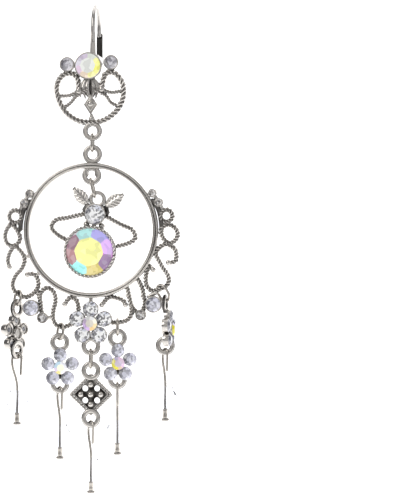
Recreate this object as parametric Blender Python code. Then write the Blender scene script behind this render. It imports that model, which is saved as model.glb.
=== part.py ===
# Chandelier earring: leverback ear wire, rope heart, pierced hoop, inner pendant and five small drops.
# Metres, +Z up, the front faces -Y, and the origin lies under the top of the ear wire's arch.

import math
from collections import namedtuple

import bmesh
import bpy
from mathutils import Matrix, Vector

MM = 0.001

# Clearances
LINK_GAP = 0.10 * MM
STONE_GAP = 0.06 * MM
HINGE_GAP = 0.08 * MM
SEAT_GAP = 0.08 * MM

# Ear wire and its lever
ARCH_INNER_RADIUS = 4.2 * MM
EAR_WIRE_RADIUS = 0.42 * MM
REAR_LEG_LENGTH = 1.3 * MM
PLATE_WIDTH = 1.26 * MM
PLATE_THICKNESS = 0.7 * MM
PLATE_TOP_DROP = 5.1 * MM
HINGE_DROP = 10.3 * MM
LEVER_TOP_DROP = 4.3 * MM
LEVER_WIDTH = 1.2 * MM
LEVER_THICKNESS = 0.5 * MM
KNUCKLE_WALL = 0.35 * MM
RIVET_RADIUS = 0.3 * MM
RIVET_PROUD = 0.035 * MM
CHEEK_THICKNESS = 0.35 * MM
CHEEK_HALF_HEIGHT = 0.55 * MM

# Cast eyes, rope strands and jump links
EYE_HOLE_RADIUS = 0.98 * MM
EYE_BAR = 0.95 * MM
EYE_DEPTH = 0.80 * MM
EYE_SEAT = 0.3 * MM
HOOP_EYE_SEAT = 0.75 * MM
TOP_STRAND_RADIUS = 0.62 * MM
TOP_BAR_RADIUS = 0.42 * MM
HOOP_STRAND_RADIUS = 0.39 * MM
PENDANT_STRAND_RADIUS = 0.44 * MM
LINK_WIRE_RADIUS = 0.28 * MM
LINK_INNER_WIDTH = 1.9 * MM
MAIN_LINK_LENGTH = 2.9 * MM
INNER_LINK_LENGTH = 3.3 * MM
BACK_OFFSET = 0.4 * MM
BACK_STEP = 0.02

# Top ornament
TOP_STONE_DROP = 12.16 * MM
TOP_STONE_OFFSET = -0.74 * MM
TOP_RING_RADIUS = 6.9 * MM

# Hoop
HOOP_OUTER_RADIUS = 13.62 * MM
HOOP_RIM_WIDTH = 1.12 * MM
HOOP_DEPTH = 1.5 * MM
HOOP_GROOVE = 0.3 * MM
HOOP_OFFSET = -0.32 * MM
PETAL_LAP = 0.1 * MM

# Inner pendant
PENDANT_LEAN = math.radians(7.5)
PENDANT_GRIP = math.radians(37)
INNER_LINK_LEAN = math.radians(-13)
PENDANT_EYE_BAR = 0.75 * MM
CUP_LAP = 0.45 * MM
BEZEL_GAP = 0.2 * MM
NECK_SHARE = 0.85
LOOP_START_SHARE = 0.9
BEAD_SIDE_SHARE = 0.74
PENDANT_BEAD_RADIUS = 0.66 * MM

# Small drops
DROP_PETAL_RADIUS = 1.36 * MM
DROP_PETAL_HEIGHT = 1.7 * MM
DROP_PETAL_EDGE = 1.26 * MM
DROP_NECK = 0.1 * MM
DROP_EYE_LAP = 0.85 * MM
DIAMOND_HALF_WIDTH = 3.85 * MM
DIAMOND_HALF_HEIGHT = 3.3 * MM
DIAMOND_BEAD_RADIUS = 0.85 * MM
DIAMOND_SMALL_BEAD_RADIUS = 0.72 * MM
DIAMOND_RIM_RADIUS = 0.47 * MM
DIAMOND_CORNER_CUTS = (0.06, 0.94)
HEADPIN_LENGTH = 14.2 * MM
HEADPIN_WIRE_RADIUS = 0.27 * MM
HAIRPIN_TAIL = 4.6 * MM
HAIRPIN_INNER_WIDTH = 1.3 * MM
HAIRPIN_PINCH = 0.8
HEAD_RADIUS = 0.8 * MM
HEAD_THICKNESS = 0.35 * MM
TUBE_RADIUS = 0.62 * MM
TUBE_LENGTH = 1.8 * MM
BEAD_RADIUS = 2.55 * MM
BEAD_HALF_HEIGHT = 2.25 * MM
BEAD_RIM_RADIUS = 1.45 * MM
THREAD_GAP = 0.08 * MM

# A setting is a round cup and the stone that it holds
Setting = namedtuple("Setting", "radius wall depth floor facets")
TOP_CUP = Setting(2.75 * MM, 0.28 * MM, 1.7 * MM, 0.3 * MM, 16)
TOP_SIDE_CUP = Setting(1.5 * MM, 0.22 * MM, 1.2 * MM, 0.3 * MM, 10)
HOOP_STONE_CUP = Setting(1.7 * MM, 0.24 * MM, 1.4 * MM, 0.3 * MM, 10)
PRONG_CUP = Setting(0.88 * MM, 0.2 * MM, 1.1 * MM, 0.3 * MM, 8)
BEAD_CUP = Setting(1.12 * MM, 0.22 * MM, 1.1 * MM, 0.3 * MM, 8)
FLOWER_CUP = Setting(1.36 * MM, 0.2 * MM, 1.6 * MM, 0.3 * MM, 10)
PETAL_CUP = Setting(1.62 * MM, 0.2 * MM, 1.3 * MM, 0.3 * MM, 10)
PENDANT_CUP = Setting(2.15 * MM, 0.26 * MM, 1.6 * MM, 0.3 * MM, 12)
PENDANT_BEZEL = Setting(5.22 * MM, 0.5 * MM, 2.2 * MM, 0.35 * MM, 16)
DROP_CUP = Setting(1.3 * MM, 0.2 * MM, 2.2 * MM, 0.3 * MM, 10)

CROWN_SHARE = 0.3
TABLE_SHARE = 0.56
GIRDLE_SHARE = 0.12

# Rope routes of the top ornament, (x, z) from the ring's centre in ring radii
TOP_CUP_SHARE = (-0.05, 0.66)
TOP_LEFT_SHARE = (-0.68, 0.71)
TOP_RIGHT_SHARE = (0.61, 0.76)
TOP_EYE_SHARE = (0.06, -0.98)
HEART_ROUTE = [
    (-0.345, -0.055), (-0.36, 0.18), (-0.42, 0.37), (-0.61, 0.46), (-0.82, 0.39), (-0.97, 0.19),
    (-0.99, -0.06), (-0.91, -0.37), (-0.71, -0.69), (-0.37, -0.92), (0.06, -0.98), (0.41, -0.91),
    (0.73, -0.68), (0.92, -0.37), (0.97, -0.04), (0.90, 0.25), (0.66, 0.48), (0.45, 0.43),
    (0.37, 0.24), (0.33, -0.01)]
TOP_BARS = [
    [(-0.345, -0.055), (-0.95, -0.22)],
    [(0.33, -0.01), (0.96, -0.05)],
    [(-0.05, 0.0), (-0.40, -0.20), (-0.81, -0.57)],
    [(0.05, 0.0), (0.42, -0.17), (0.81, -0.55)],
    [TOP_LEFT_SHARE, (-0.61, 0.46)],
    [TOP_RIGHT_SHARE, (0.66, 0.48)]]
TOP_LEAVES = [
    [(-0.05, 0.40), (0.0, 0.05), (0.02, -0.26)],
    [(-0.06, 0.30), (-0.14, 0.05), (-0.17, -0.14)],
    [(0.0, 0.30), (0.12, 0.05), (0.17, -0.14)],
    [(0.01, -0.12), (0.03, -0.43), (0.03, -0.72)],
    [(0.03, -0.66), (0.03, -0.80), (0.05, -0.97)]]
TOP_LEAF_SWELLS = [(0.5, 1.2, 0.4), (0.4, 0.8, 0.2), (0.4, 0.8, 0.2), (0.3, 2.0, 0.3), (0.5, 1.1, 0.7)]

# Rope routes of the hoop, (x, z) from its centre in outer radii
OUTER_LEFT_BAIL = (-1.08, -0.945)
INNER_LEFT_BAIL = (-0.446, -1.43)
INNER_RIGHT_BAIL = (0.394, -1.36)
OUTER_RIGHT_BAIL = (1.035, -0.86)
HOOP_FLOWER = (0.0, -1.37)
LEFT_STONE = (-0.887, -1.145)
RIGHT_STONE = (0.932, -1.09)
LEFT_BEAD_CUP = (-0.717, -1.29)
RIGHT_BEAD_CUP = (0.743, -1.245)
PRONG_PLACES = {
    "left_high": (-0.91, 0.545), "left_low": (-0.99, 0.40),
    "right_high": (0.915, 0.545), "right_low": (1.01, 0.41)}
HOOP_RINGS = [((-1.128, 0.207), 0.092), ((1.12, 0.215), 0.088)]
HOOP_LOOPS = [
    [(-1.185, 0.09), (-1.112, 0.015), (-1.06, -0.095), (-1.085, -0.184), (-1.175, -0.225),
     (-1.254, -0.184), (-1.282, -0.081), (-1.251, 0.029)],
    [(1.142, 0.085), (1.245, 0.037), (1.286, -0.051), (1.253, -0.14), (1.172, -0.19),
     (1.084, -0.132), (1.044, -0.038), (1.062, 0.044)]]
HOOP_STRANDS = [
    [(-0.91, 0.545), (-0.985, 0.44), (-1.06, 0.29)],
    [(-1.141, -0.222), (-1.21, -0.323), (-1.241, -0.441), (-1.214, -0.543)],
    [(-1.141, -0.222), (-1.04, -0.316), (-0.99, -0.43), (-1.03, -0.558), (-1.12, -0.661),
     (-1.17, -0.786), (-1.145, -0.885), OUTER_LEFT_BAIL, (-0.97, -0.982), (-0.86, -0.932),
     (-0.785, -0.822), (-0.80, -0.705), (-0.86, -0.645), (-0.95, -0.655)],
    [(-0.99, -0.40), (-0.90, -0.37)],
    [(-0.81, -0.68), (-0.76, -0.61)],
    [(-0.81, -0.87), (-0.77, -0.97), (-0.75, -1.07), (-0.737, -1.19), LEFT_BEAD_CUP],
    [(-0.755, -1.04), (-0.755, -0.94), (-0.67, -0.85), (-0.58, -0.885), (-0.532, -0.97),
     (-0.532, -1.075), (-0.558, -1.175), (-0.565, -1.29), (-0.53, -1.38), INNER_LEFT_BAIL,
     (-0.34, -1.405), (-0.20, -1.34)],
    [LEFT_BEAD_CUP, (-0.56, -1.28)],
    [(0.915, 0.545), (1.0, 0.43), (1.07, 0.29)],
    [(1.131, -0.205), (1.232, -0.263), (1.266, -0.348), (1.248, -0.457), (1.147, -0.474)],
    [(1.142, -0.19), (1.035, -0.238), (0.962, -0.34), (1.02, -0.465), (1.07, -0.558),
     (1.131, -0.64), (1.156, -0.73), (1.12, -0.815), OUTER_RIGHT_BAIL, (0.915, -0.887),
     (0.84, -0.83), (0.815, -0.74), (0.825, -0.62), (0.865, -0.535), (0.925, -0.58)],
    [(0.83, -0.99), (0.92, -0.94), (1.01, -0.90)],
    [(0.53, -0.815), (0.565, -0.954), (0.59, -1.065), (0.633, -1.157), RIGHT_BEAD_CUP],
    [(0.69, -0.70), (0.76, -0.855), (0.784, -0.972), (0.80, -1.081), RIGHT_BEAD_CUP],
    [(0.592, -1.072), (0.602, -1.22), (0.54, -1.32), INNER_RIGHT_BAIL, (0.29, -1.345), (0.2, -1.30)],
    [(-0.39, -1.09), (-0.31, -0.99), (-0.21, -1.04), (-0.18, -1.20)],
    [(0.165, -1.095), (0.265, -0.985), (0.37, -0.995), (0.48, -1.035), (0.51, -1.095)],
    [(0.0, -0.96), (0.0, -1.20)],
    [(-0.91, 0.545), (-0.82, 0.49)],
    [(0.915, 0.545), (0.82, 0.49)],
    [LEFT_STONE, (-0.75, -1.09)],
    [RIGHT_STONE, (0.80, -1.081)],
    [(-0.24, -0.93), (-0.255, -1.02)]]
HOOP_THORNS = [[(0.57, -0.985), (0.50, -0.95)], [(0.78, -0.965), (0.725, -0.985)]]
THORN_SWELL = (0.9, 0.2)
STRAND_END_BEADS = [(-1.214, -0.543), (-0.95, -0.655), (1.147, -0.474), (0.925, -0.58),
                    (-0.39, -1.09), (0.165, -1.095), (0.51, -1.095)]
END_BEAD_SHARE = 1.35

# Rope loops and leaves of the pendant, (x, z) from the large stone's centre in bezel radii
PENDANT_LOOP = [(1.05, 1.19), (1.45, 1.07), (1.63, 0.85), (1.59, 0.66), (1.30, 0.46), (0.93, 0.33)]
PENDANT_LEAF = [(0.22, -0.28), (0.62, 0.12), (0.95, 0.30)]
LEAF_SWELL = (1.0, 1.7, 0.25)

# Small drops: link length, lean and turn of the link, turn of the casting, of its lower eye and pin
Drop = namedtuple("Drop", "name link_length lean spin turn lower_turn pin_turn")
DROPS = [
    Drop("outer_left", 2.5 * MM, math.radians(12), math.radians(38), math.radians(-118), math.radians(-118),
         math.radians(90)),
    Drop("inner_left", 2.7 * MM, math.radians(8), math.radians(35), math.radians(12), 0.0, math.radians(38)),
    Drop("centre", 3.2 * MM, 0.0, 0.0, 0.0, 0.0, math.radians(38)),
    Drop("inner_right", 2.7 * MM, 0.0, math.radians(10), math.radians(12), 0.0, math.radians(10)),
    Drop("outer_right", 2.9 * MM, math.radians(-30), math.radians(54), math.radians(84), 0.0,
         math.radians(35))]

# Facets of the round shapes
HOOP_SEGMENTS = 48
EYE_SEGMENTS = 10
END_ARC_STEPS = 5
ARCH_STEPS = 12
BALL_RINGS = 5
BALL_SEGMENTS = 8
PIN_FACETS = 10
ROUND_FACETS = 10
PETAL_FACETS = 8
PATH_STEPS = 2
STRAIGHT_ENOUGH = math.radians(12)
SMALLEST_EDGE = 1e-7
SHARP_METAL = math.radians(35)
SHARP_WIRE = math.radians(60)

# The first corner of a turned shape points up once it faces the front
FACE_FRONT = Matrix.Rotation(math.pi / 2, 4, "X") @ Matrix.Rotation(math.pi / 2, 4, "Z")
FACE_SIDE = Matrix.Rotation(math.pi / 2, 4, "Y")


def clear_scene():
    for item in list(bpy.data.objects):
        bpy.data.objects.remove(item)


def make_material(name, colour, metallic, roughness, alpha=1.0):
    material = bpy.data.materials.new(name)
    material.use_nodes = True
    shader = material.node_tree.nodes["Principled BSDF"]
    shader.inputs["Base Color"].default_value = (*colour, 1.0)
    shader.inputs["Metallic"].default_value = metallic
    shader.inputs["Roughness"].default_value = roughness
    shader.inputs["Alpha"].default_value = alpha
    return material


def metal(name):
    return make_material(name + "_metal", (0.52, 0.50, 0.47), 1.0, 0.35)


def crystal(name, colour):
    return make_material(name + "_crystal", colour, 0.0, 0.05)


def add_object(name, mesh, material):
    mesh.materials.clear()
    mesh.materials.append(material)
    item = bpy.data.objects.new(name, mesh)
    bpy.context.scene.collection.objects.link(item)
    return item


# Meshes of the basic shapes

def mesh_from(shape):
    bmesh.ops.remove_doubles(shape, verts=shape.verts, dist=SMALLEST_EDGE)
    bmesh.ops.recalc_face_normals(shape, faces=shape.faces)
    mesh = bpy.data.meshes.new("shape")
    shape.to_mesh(mesh)
    shape.free()
    return mesh


def turned(profile, segments, closed=False):
    # Profile of (radius, height) pairs turned about +Z
    shape = bmesh.new()
    corners = [shape.verts.new((radius, 0.0, height)) for radius, height in profile]
    sides = [shape.edges.new(pair) for pair in zip(corners, corners[1:])]
    if closed:
        sides.append(shape.edges.new((corners[-1], corners[0])))
    bmesh.ops.spin(shape, geom=corners + sides, cent=(0, 0, 0), axis=(0, 0, 1),
                   angle=2 * math.pi, steps=segments, use_merge=True)
    return mesh_from(shape)


def box(low, high):
    shape = bmesh.new()
    bmesh.ops.create_cube(shape, size=1.0)
    size = Vector(high) - Vector(low)
    middle = (Vector(high) + Vector(low)) / 2
    bmesh.ops.scale(shape, vec=size, verts=shape.verts)
    bmesh.ops.translate(shape, vec=middle, verts=shape.verts)
    return mesh_from(shape)


def ball(centre, radius):
    shape = bmesh.new()
    bmesh.ops.create_uvsphere(shape, u_segments=BALL_SEGMENTS, v_segments=BALL_RINGS, radius=radius)
    bmesh.ops.translate(shape, vec=centre, verts=shape.verts)
    return mesh_from(shape)


def tube(points, radius, closed=False, swell=None):
    curve = bpy.data.curves.new("strand", "CURVE")
    curve.dimensions = "3D"
    curve.bevel_depth = radius
    curve.bevel_resolution = 1
    curve.use_fill_caps = not closed
    spline = curve.splines.new("POLY")
    spline.points.add(len(points) - 1)
    spline.use_cyclic_u = closed
    for index, place in enumerate(points):
        spline.points[index].co = (*place, 1.0)
        spline.points[index].radius = swell[index] if swell else 1.0
    holder = bpy.data.objects.new("strand", curve)
    mesh = bpy.data.meshes.new_from_object(holder)
    bpy.data.objects.remove(holder)
    bpy.data.curves.remove(curve)
    shape = bmesh.new()
    shape.from_mesh(mesh)
    bpy.data.meshes.remove(mesh)
    return mesh_from(shape)


def moved(mesh, matrix):
    mesh.transform(matrix)
    return mesh


def catmull(before, start, end, after, share):
    # Point of a Catmull-Rom span from start to end
    return 0.5 * (2 * start + (end - before) * share
                  + (2 * before - 5 * start + 4 * end - after) * share ** 2
                  + (3 * start - before - 3 * end + after) * share ** 3)


def smooth_path(points, closed=False):
    count = len(points)
    spans = count if closed else count - 1
    path = []
    for index in range(spans):
        if closed:
            near = [points[(index + step) % count] for step in (-1, 0, 1, 2)]
        else:
            near = [points[min(max(index + step, 0), count - 1)] for step in (-1, 0, 1, 2)]
        path += [catmull(*near, step / PATH_STEPS) for step in range(PATH_STEPS)]
    if not closed:
        path.append(points[-1])
    return path


def thinned(path):
    # Leaves out points where the route hardly turns
    kept = [path[0]]
    for index in range(1, len(path) - 1):
        arriving = path[index] - kept[-1]
        leaving = path[index + 1] - path[index]
        if arriving.angle(leaving) > STRAIGHT_ENOUGH:
            kept.append(path[index])
    return kept + [path[-1]]


def on_plan(centre, size, share):
    # Place in the casting's plane of a share (x, z) of a size
    return Vector((centre[0] + size * share[0], centre[1], centre[2] + size * share[1]))


def strand(centre, size, route, radius, closed=False, swell=None):
    points = [on_plan(centre, size, share) for share in route]
    if swell:
        return tube(points, radius, closed, swell)
    return tube(thinned(smooth_path(points, closed)), radius, closed)


def circle_points(centre, radius, count):
    turns = [2 * math.pi * index / count for index in range(count)]
    return [centre + Vector((radius * math.cos(turn), 0, radius * math.sin(turn))) for turn in turns]


def combined(body, others, operation):
    # Boolean of a closed mesh with others, which are used up; the exact solver leaves open edges here
    scene = bpy.context.scene
    holder = bpy.data.objects.new("body", body)
    scene.collection.objects.link(holder)
    gathered = bpy.data.collections.new("operands")
    scene.collection.children.link(gathered)
    for other in others:
        gathered.objects.link(bpy.data.objects.new("operand", other))
    step = holder.modifiers.new("step", "BOOLEAN")
    step.operation = operation
    step.operand_type = "COLLECTION"
    step.collection = gathered
    step.solver = "MANIFOLD"
    graph = bpy.context.evaluated_depsgraph_get()
    mesh = bpy.data.meshes.new_from_object(holder.evaluated_get(graph))
    for item in list(gathered.objects) + [holder]:
        bpy.data.objects.remove(item)
    bpy.data.collections.remove(gathered)
    return mesh


def fuse(name, parts, material, hollows=()):
    mesh = combined(parts[0], parts[1:], "UNION")
    if hollows:
        mesh = combined(mesh, hollows, "DIFFERENCE")
    mesh.shade_smooth()
    mesh.set_sharp_from_angle(angle=SHARP_METAL)
    return add_object(name, mesh, material)


# Eyes, links, cups and stones

def eye_major(bar):
    return EYE_HOLE_RADIUS + bar / 2


def eye(centre, bar=EYE_BAR, turn=0.0):
    ring = tube(circle_points(Vector((0, 0, 0)), eye_major(bar), EYE_SEGMENTS), bar / 2, closed=True)
    flat = Matrix.Scale(EYE_DEPTH / bar, 4, (0, 1, 0))
    return moved(ring, Matrix.Translation(centre) @ Matrix.Rotation(turn, 4, "Z") @ flat)


def link_drop(upper_half_bar, length, lower_half_bar):
    # From the centre of the bar that carries the link to the centre of the bar that hangs in it
    return length - upper_half_bar - lower_half_bar - 2 * LINK_GAP


def link_matrix(bar_centre, lean, spin):
    return Matrix.Translation(bar_centre) @ Matrix.Rotation(lean, 4, "Y") @ Matrix.Rotation(spin, 4, "Z")


def add_link(name, bar_centre, half_bar, length, lean=0.0, spin=0.0):
    # A stadium of round wire in the local YZ plane, with its upper wire over the bar
    half_width = LINK_INNER_WIDTH / 2 + LINK_WIRE_RADIUS
    top = half_bar + LINK_GAP + LINK_WIRE_RADIUS
    bottom = top - length - 2 * LINK_WIRE_RADIUS
    ends = [(top - half_width, 0.0), (bottom + half_width, math.pi)]
    points = []
    for level, start in ends:
        for step in range(END_ARC_STEPS + 1):
            turn = start + math.pi * step / END_ARC_STEPS
            points.append(Vector((0, half_width * math.cos(turn), level + half_width * math.sin(turn))))
    mesh = moved(tube(points, LINK_WIRE_RADIUS, closed=True), link_matrix(bar_centre, lean, spin))
    return add_object(name, smoothed(mesh), metal(name))


def hung_bar(bar_centre, half_bar, length, lower_half_bar, lean):
    reach = link_drop(half_bar, length, lower_half_bar)
    return bar_centre + Vector((-math.sin(lean), 0, -math.cos(lean))) * reach


def smoothed(mesh):
    mesh.shade_smooth()
    mesh.set_sharp_from_angle(angle=SHARP_WIRE)
    return mesh


def cup(setting, centre):
    profile = [(0, 0), (setting.radius, 0), (setting.radius, setting.depth), (0, setting.depth)]
    return moved(turned(profile, max(setting.facets, ROUND_FACETS)), cup_matrix(setting, centre))


def hollow(setting, centre):
    # The room for the stone, which is cut out of the cup and of what crosses it
    inner = setting.radius - setting.wall
    mouth = setting.depth + setting.radius
    profile = [(0, setting.floor), (inner, setting.floor), (inner, mouth), (0, mouth)]
    return moved(turned(profile, max(setting.facets, ROUND_FACETS)), cup_matrix(setting, centre))


def cup_matrix(setting, centre):
    # A wider cup stands back a little further
    back = BACK_OFFSET + BACK_STEP * setting.radius
    return Matrix.Translation(centre) @ Matrix.Translation((0, back, 0)) @ FACE_FRONT


def stone_profile(setting):
    radius = setting.radius - setting.wall - STONE_GAP
    girdle = setting.depth - GIRDLE_SHARE * radius
    crown = setting.depth + STONE_GAP
    return [(0, setting.floor + STONE_GAP), (radius, girdle), (radius, crown),
            (radius * TABLE_SHARE, crown + radius * CROWN_SHARE), (0, crown + radius * CROWN_SHARE)]


def add_stone(name, setting, centre, colour):
    mesh = moved(turned(stone_profile(setting), setting.facets), cup_matrix(setting, centre))
    return add_object(name, mesh, crystal(name, colour))


# Ear wire and lever

def wire_line_radius():
    return ARCH_INNER_RADIUS + EAR_WIRE_RADIUS


def lever_plane():
    return wire_line_radius() + EAR_WIRE_RADIUS + HINGE_GAP + LEVER_THICKNESS / 2


def knuckle_radius():
    return RIVET_RADIUS + HINGE_GAP + KNUCKLE_WALL


def ear_wire_points():
    reach = wire_line_radius()
    points = [Vector((0, -reach, -PLATE_TOP_DROP - PLATE_WIDTH))]
    for step in range(ARCH_STEPS + 1):
        turn = math.pi * step / ARCH_STEPS
        points.append(Vector((0, -reach * math.cos(turn), reach * math.sin(turn) - ARCH_INNER_RADIUS)))
    points.append(Vector((0, reach, -ARCH_INNER_RADIUS - REAR_LEG_LENGTH)))
    return points


def rivet():
    half = LEVER_WIDTH / 2 + HINGE_GAP + CHEEK_THICKNESS
    profile = [(0, -half), (RIVET_RADIUS, -half), (RIVET_RADIUS, half), (0, half)]
    return moved(turned(profile, PIN_FACETS), Matrix.Translation((0, lever_plane(), -HINGE_DROP)) @ FACE_SIDE)


def add_ear_hook():
    front = -wire_line_radius()
    inner_face = LEVER_WIDTH / 2 + HINGE_GAP
    outer_face = inner_face + CHEEK_THICKNESS - RIVET_PROUD
    bar_end = lever_plane() - knuckle_radius() - HINGE_GAP
    low = -HINGE_DROP - CHEEK_HALF_HEIGHT
    high = -HINGE_DROP + CHEEK_HALF_HEIGHT
    parts = [tube(ear_wire_points(), EAR_WIRE_RADIUS)]
    parts.append(box((-PLATE_WIDTH / 2, front - PLATE_THICKNESS / 2, -TOP_STONE_DROP),
                     (PLATE_WIDTH / 2, front + PLATE_THICKNESS / 2, -PLATE_TOP_DROP)))
    parts.append(box((-outer_face, front, low), (outer_face, bar_end, high)))
    for side in (-1, 1):
        reach = sorted((side * inner_face, side * outer_face))
        parts.append(box((reach[0], bar_end - CHEEK_THICKNESS, low),
                         (reach[1], lever_plane() + CHEEK_HALF_HEIGHT, high)))
    parts.append(rivet())
    return fuse("ear_hook", parts, metal("ear_hook"))


def add_lever():
    bore = RIVET_RADIUS + HINGE_GAP
    half = LEVER_WIDTH / 2
    ring = [(bore, -half), (knuckle_radius(), -half), (knuckle_radius(), half), (bore, half)]
    place = Matrix.Translation((0, lever_plane(), -HINGE_DROP))
    knuckle = moved(turned(ring, ROUND_FACETS, closed=True), place @ FACE_SIDE)
    back = lever_plane() - LEVER_THICKNESS / 2
    strip = box((-half, back, -HINGE_DROP + bore + KNUCKLE_WALL / 2),
                (half, back + LEVER_THICKNESS, -LEVER_TOP_DROP - half))
    tip_profile = [(0, 0), (half, 0), (half, LEVER_THICKNESS), (0, LEVER_THICKNESS)]
    tip_place = Matrix.Translation((0, back + LEVER_THICKNESS, -LEVER_TOP_DROP - half))
    tip = moved(turned(tip_profile, 2 * ROUND_FACETS), tip_place @ FACE_FRONT)
    return fuse("lever", [knuckle, strip, tip], metal("lever"))


# Top ornament

def cast_plane():
    # The castings hang just in front of the ear wire's plate
    return -wire_line_radius() - PLATE_THICKNESS / 2 - SEAT_GAP - BACK_OFFSET


def top_ring_centre():
    return Vector((TOP_STONE_OFFSET - TOP_RING_RADIUS * TOP_CUP_SHARE[0], cast_plane(),
                   -TOP_STONE_DROP - TOP_RING_RADIUS * TOP_CUP_SHARE[1]))


def top_settings():
    return [("centre", TOP_CUP, TOP_CUP_SHARE, (0.75, 0.72, 0.74)),
            ("left", TOP_SIDE_CUP, TOP_LEFT_SHARE, (0.35, 0.35, 0.36)),
            ("right", TOP_SIDE_CUP, TOP_RIGHT_SHARE, (0.35, 0.35, 0.36))]


def top_eye_centre():
    ring_bottom = on_plan(top_ring_centre(), TOP_RING_RADIUS, TOP_EYE_SHARE)
    return ring_bottom - Vector((0, 0, eye_major(EYE_BAR) + EYE_SEAT))


def add_top_ornament():
    centre = top_ring_centre()
    parts = [strand(centre, TOP_RING_RADIUS, HEART_ROUTE, TOP_STRAND_RADIUS)]
    parts += [strand(centre, TOP_RING_RADIUS, route, TOP_BAR_RADIUS) for route in TOP_BARS]
    for route, swell in zip(TOP_LEAVES, TOP_LEAF_SWELLS):
        parts.append(strand(centre, TOP_RING_RADIUS, route, TOP_STRAND_RADIUS, swell=swell))
    for name, setting, share, colour in top_settings():
        parts.append(cup(setting, on_plan(centre, TOP_RING_RADIUS, share)))
    parts.append(eye(top_eye_centre()))
    rooms = []
    for name, setting, share, colour in top_settings():
        place = on_plan(centre, TOP_RING_RADIUS, share)
        rooms.append(hollow(setting, place))
        add_stone("stone_top_" + name, setting, place, colour)
    fuse("top_ornament", parts, metal("top_ornament"), rooms)


# Hoop

def hoop_eye_centre():
    half_bar = EYE_BAR / 2
    carried = top_eye_centre() - Vector((0, 0, eye_major(EYE_BAR)))
    bar = hung_bar(carried, half_bar, MAIN_LINK_LENGTH, half_bar, 0.0)
    return bar - Vector((0, 0, eye_major(EYE_BAR)))


def hoop_centre():
    rim_middle = HOOP_OUTER_RADIUS - HOOP_RIM_WIDTH / 2
    drop = eye_major(EYE_BAR) + HOOP_EYE_SEAT + rim_middle
    return hoop_eye_centre() + Vector((HOOP_OFFSET, 0, -drop))


def inner_eye_centre():
    drop = HOOP_RIM_WIDTH / 2 + eye_major(EYE_BAR)
    rim_middle = HOOP_OUTER_RADIUS - HOOP_RIM_WIDTH / 2
    return hoop_centre() + Vector((-HOOP_OFFSET / 2, 0, rim_middle - drop))


def hoop_rim():
    inner = HOOP_OUTER_RADIUS - HOOP_RIM_WIDTH
    middle = HOOP_OUTER_RADIUS - HOOP_RIM_WIDTH / 2
    ridge = HOOP_RIM_WIDTH / 4
    half = HOOP_DEPTH / 2
    profile = [(inner, -half), (HOOP_OUTER_RADIUS, -half), (HOOP_OUTER_RADIUS, half - ridge),
               (HOOP_OUTER_RADIUS - ridge, half), (middle, half - HOOP_GROOVE), (inner + ridge, half),
               (inner, half - ridge)]
    return moved(turned(profile, HOOP_SEGMENTS, closed=True), Matrix.Translation(hoop_centre()) @ FACE_FRONT)


def petal_places(centre, reach):
    turns = [math.pi / 2 + 2 * math.pi * index / 5 for index in range(5)]
    return [centre + Vector((reach * math.cos(turn), 0, reach * math.sin(turn))) for turn in turns]


def hoop_settings():
    centre = hoop_centre()
    grey = (0.32, 0.31, 0.33)
    clear = (0.72, 0.72, 0.74)
    flower = on_plan(centre, HOOP_OUTER_RADIUS, HOOP_FLOWER)
    seats = [("stone_hoop_left", HOOP_STONE_CUP, on_plan(centre, HOOP_OUTER_RADIUS, LEFT_STONE), grey),
             ("stone_hoop_right", HOOP_STONE_CUP, on_plan(centre, HOOP_OUTER_RADIUS, RIGHT_STONE), grey),
             ("bead_cup_left", BEAD_CUP, on_plan(centre, HOOP_OUTER_RADIUS, LEFT_BEAD_CUP), grey),
             ("bead_cup_right", BEAD_CUP, on_plan(centre, HOOP_OUTER_RADIUS, RIGHT_BEAD_CUP), grey),
             ("stone_flower_centre", FLOWER_CUP, flower, clear)]
    for side, share in PRONG_PLACES.items():
        seats.append(("stone_prong_" + side, PRONG_CUP, on_plan(centre, HOOP_OUTER_RADIUS, share), grey))
    reach = FLOWER_CUP.radius + PETAL_CUP.radius - PETAL_LAP
    for number, place in enumerate(petal_places(flower, reach), 1):
        seats.append(("stone_petal_%d" % number, PETAL_CUP, place, clear))
    return seats


def lower_eye_centre():
    flower = on_plan(hoop_centre(), HOOP_OUTER_RADIUS, HOOP_FLOWER)
    reach = FLOWER_CUP.radius + PETAL_CUP.radius - PETAL_LAP
    petal_drop = reach * math.cos(math.pi / 5)
    return flower - Vector((0, 0, petal_drop + PETAL_CUP.radius / 2 + eye_major(EYE_BAR)))


def add_hoop():
    centre = hoop_centre()
    size = HOOP_OUTER_RADIUS
    parts = [hoop_rim(), eye(hoop_eye_centre()), eye(inner_eye_centre()), eye(lower_eye_centre())]
    for share, radius in HOOP_RINGS:
        points = circle_points(on_plan(centre, size, share), size * radius, EYE_SEGMENTS)
        parts.append(tube(points, HOOP_STRAND_RADIUS, closed=True))
    parts += [strand(centre, size, route, HOOP_STRAND_RADIUS, closed=True) for route in HOOP_LOOPS]
    parts += [strand(centre, size, route, HOOP_STRAND_RADIUS) for route in HOOP_STRANDS]
    for route in HOOP_THORNS:
        points = [on_plan(centre, size, share) for share in route]
        parts.append(tube(points, HOOP_STRAND_RADIUS, swell=THORN_SWELL))
    for share in STRAND_END_BEADS:
        parts.append(ball(on_plan(centre, size, share), HOOP_STRAND_RADIUS * END_BEAD_SHARE))
    parts += [cup(setting, place) for name, setting, place, colour in hoop_settings()]
    rooms = [hollow(setting, place) for name, setting, place, colour in hoop_settings()]
    fuse("hoop", parts, metal("hoop"), rooms)
    for name, setting, place, colour in hoop_settings():
        add_stone(name, setting, place, colour)


# Inner pendant

def pendant_eye_bar():
    carried = inner_eye_centre() - Vector((0, 0, eye_major(EYE_BAR)))
    return hung_bar(carried, EYE_BAR / 2, INNER_LINK_LENGTH, PENDANT_EYE_BAR / 2, INNER_LINK_LEAN)


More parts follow.
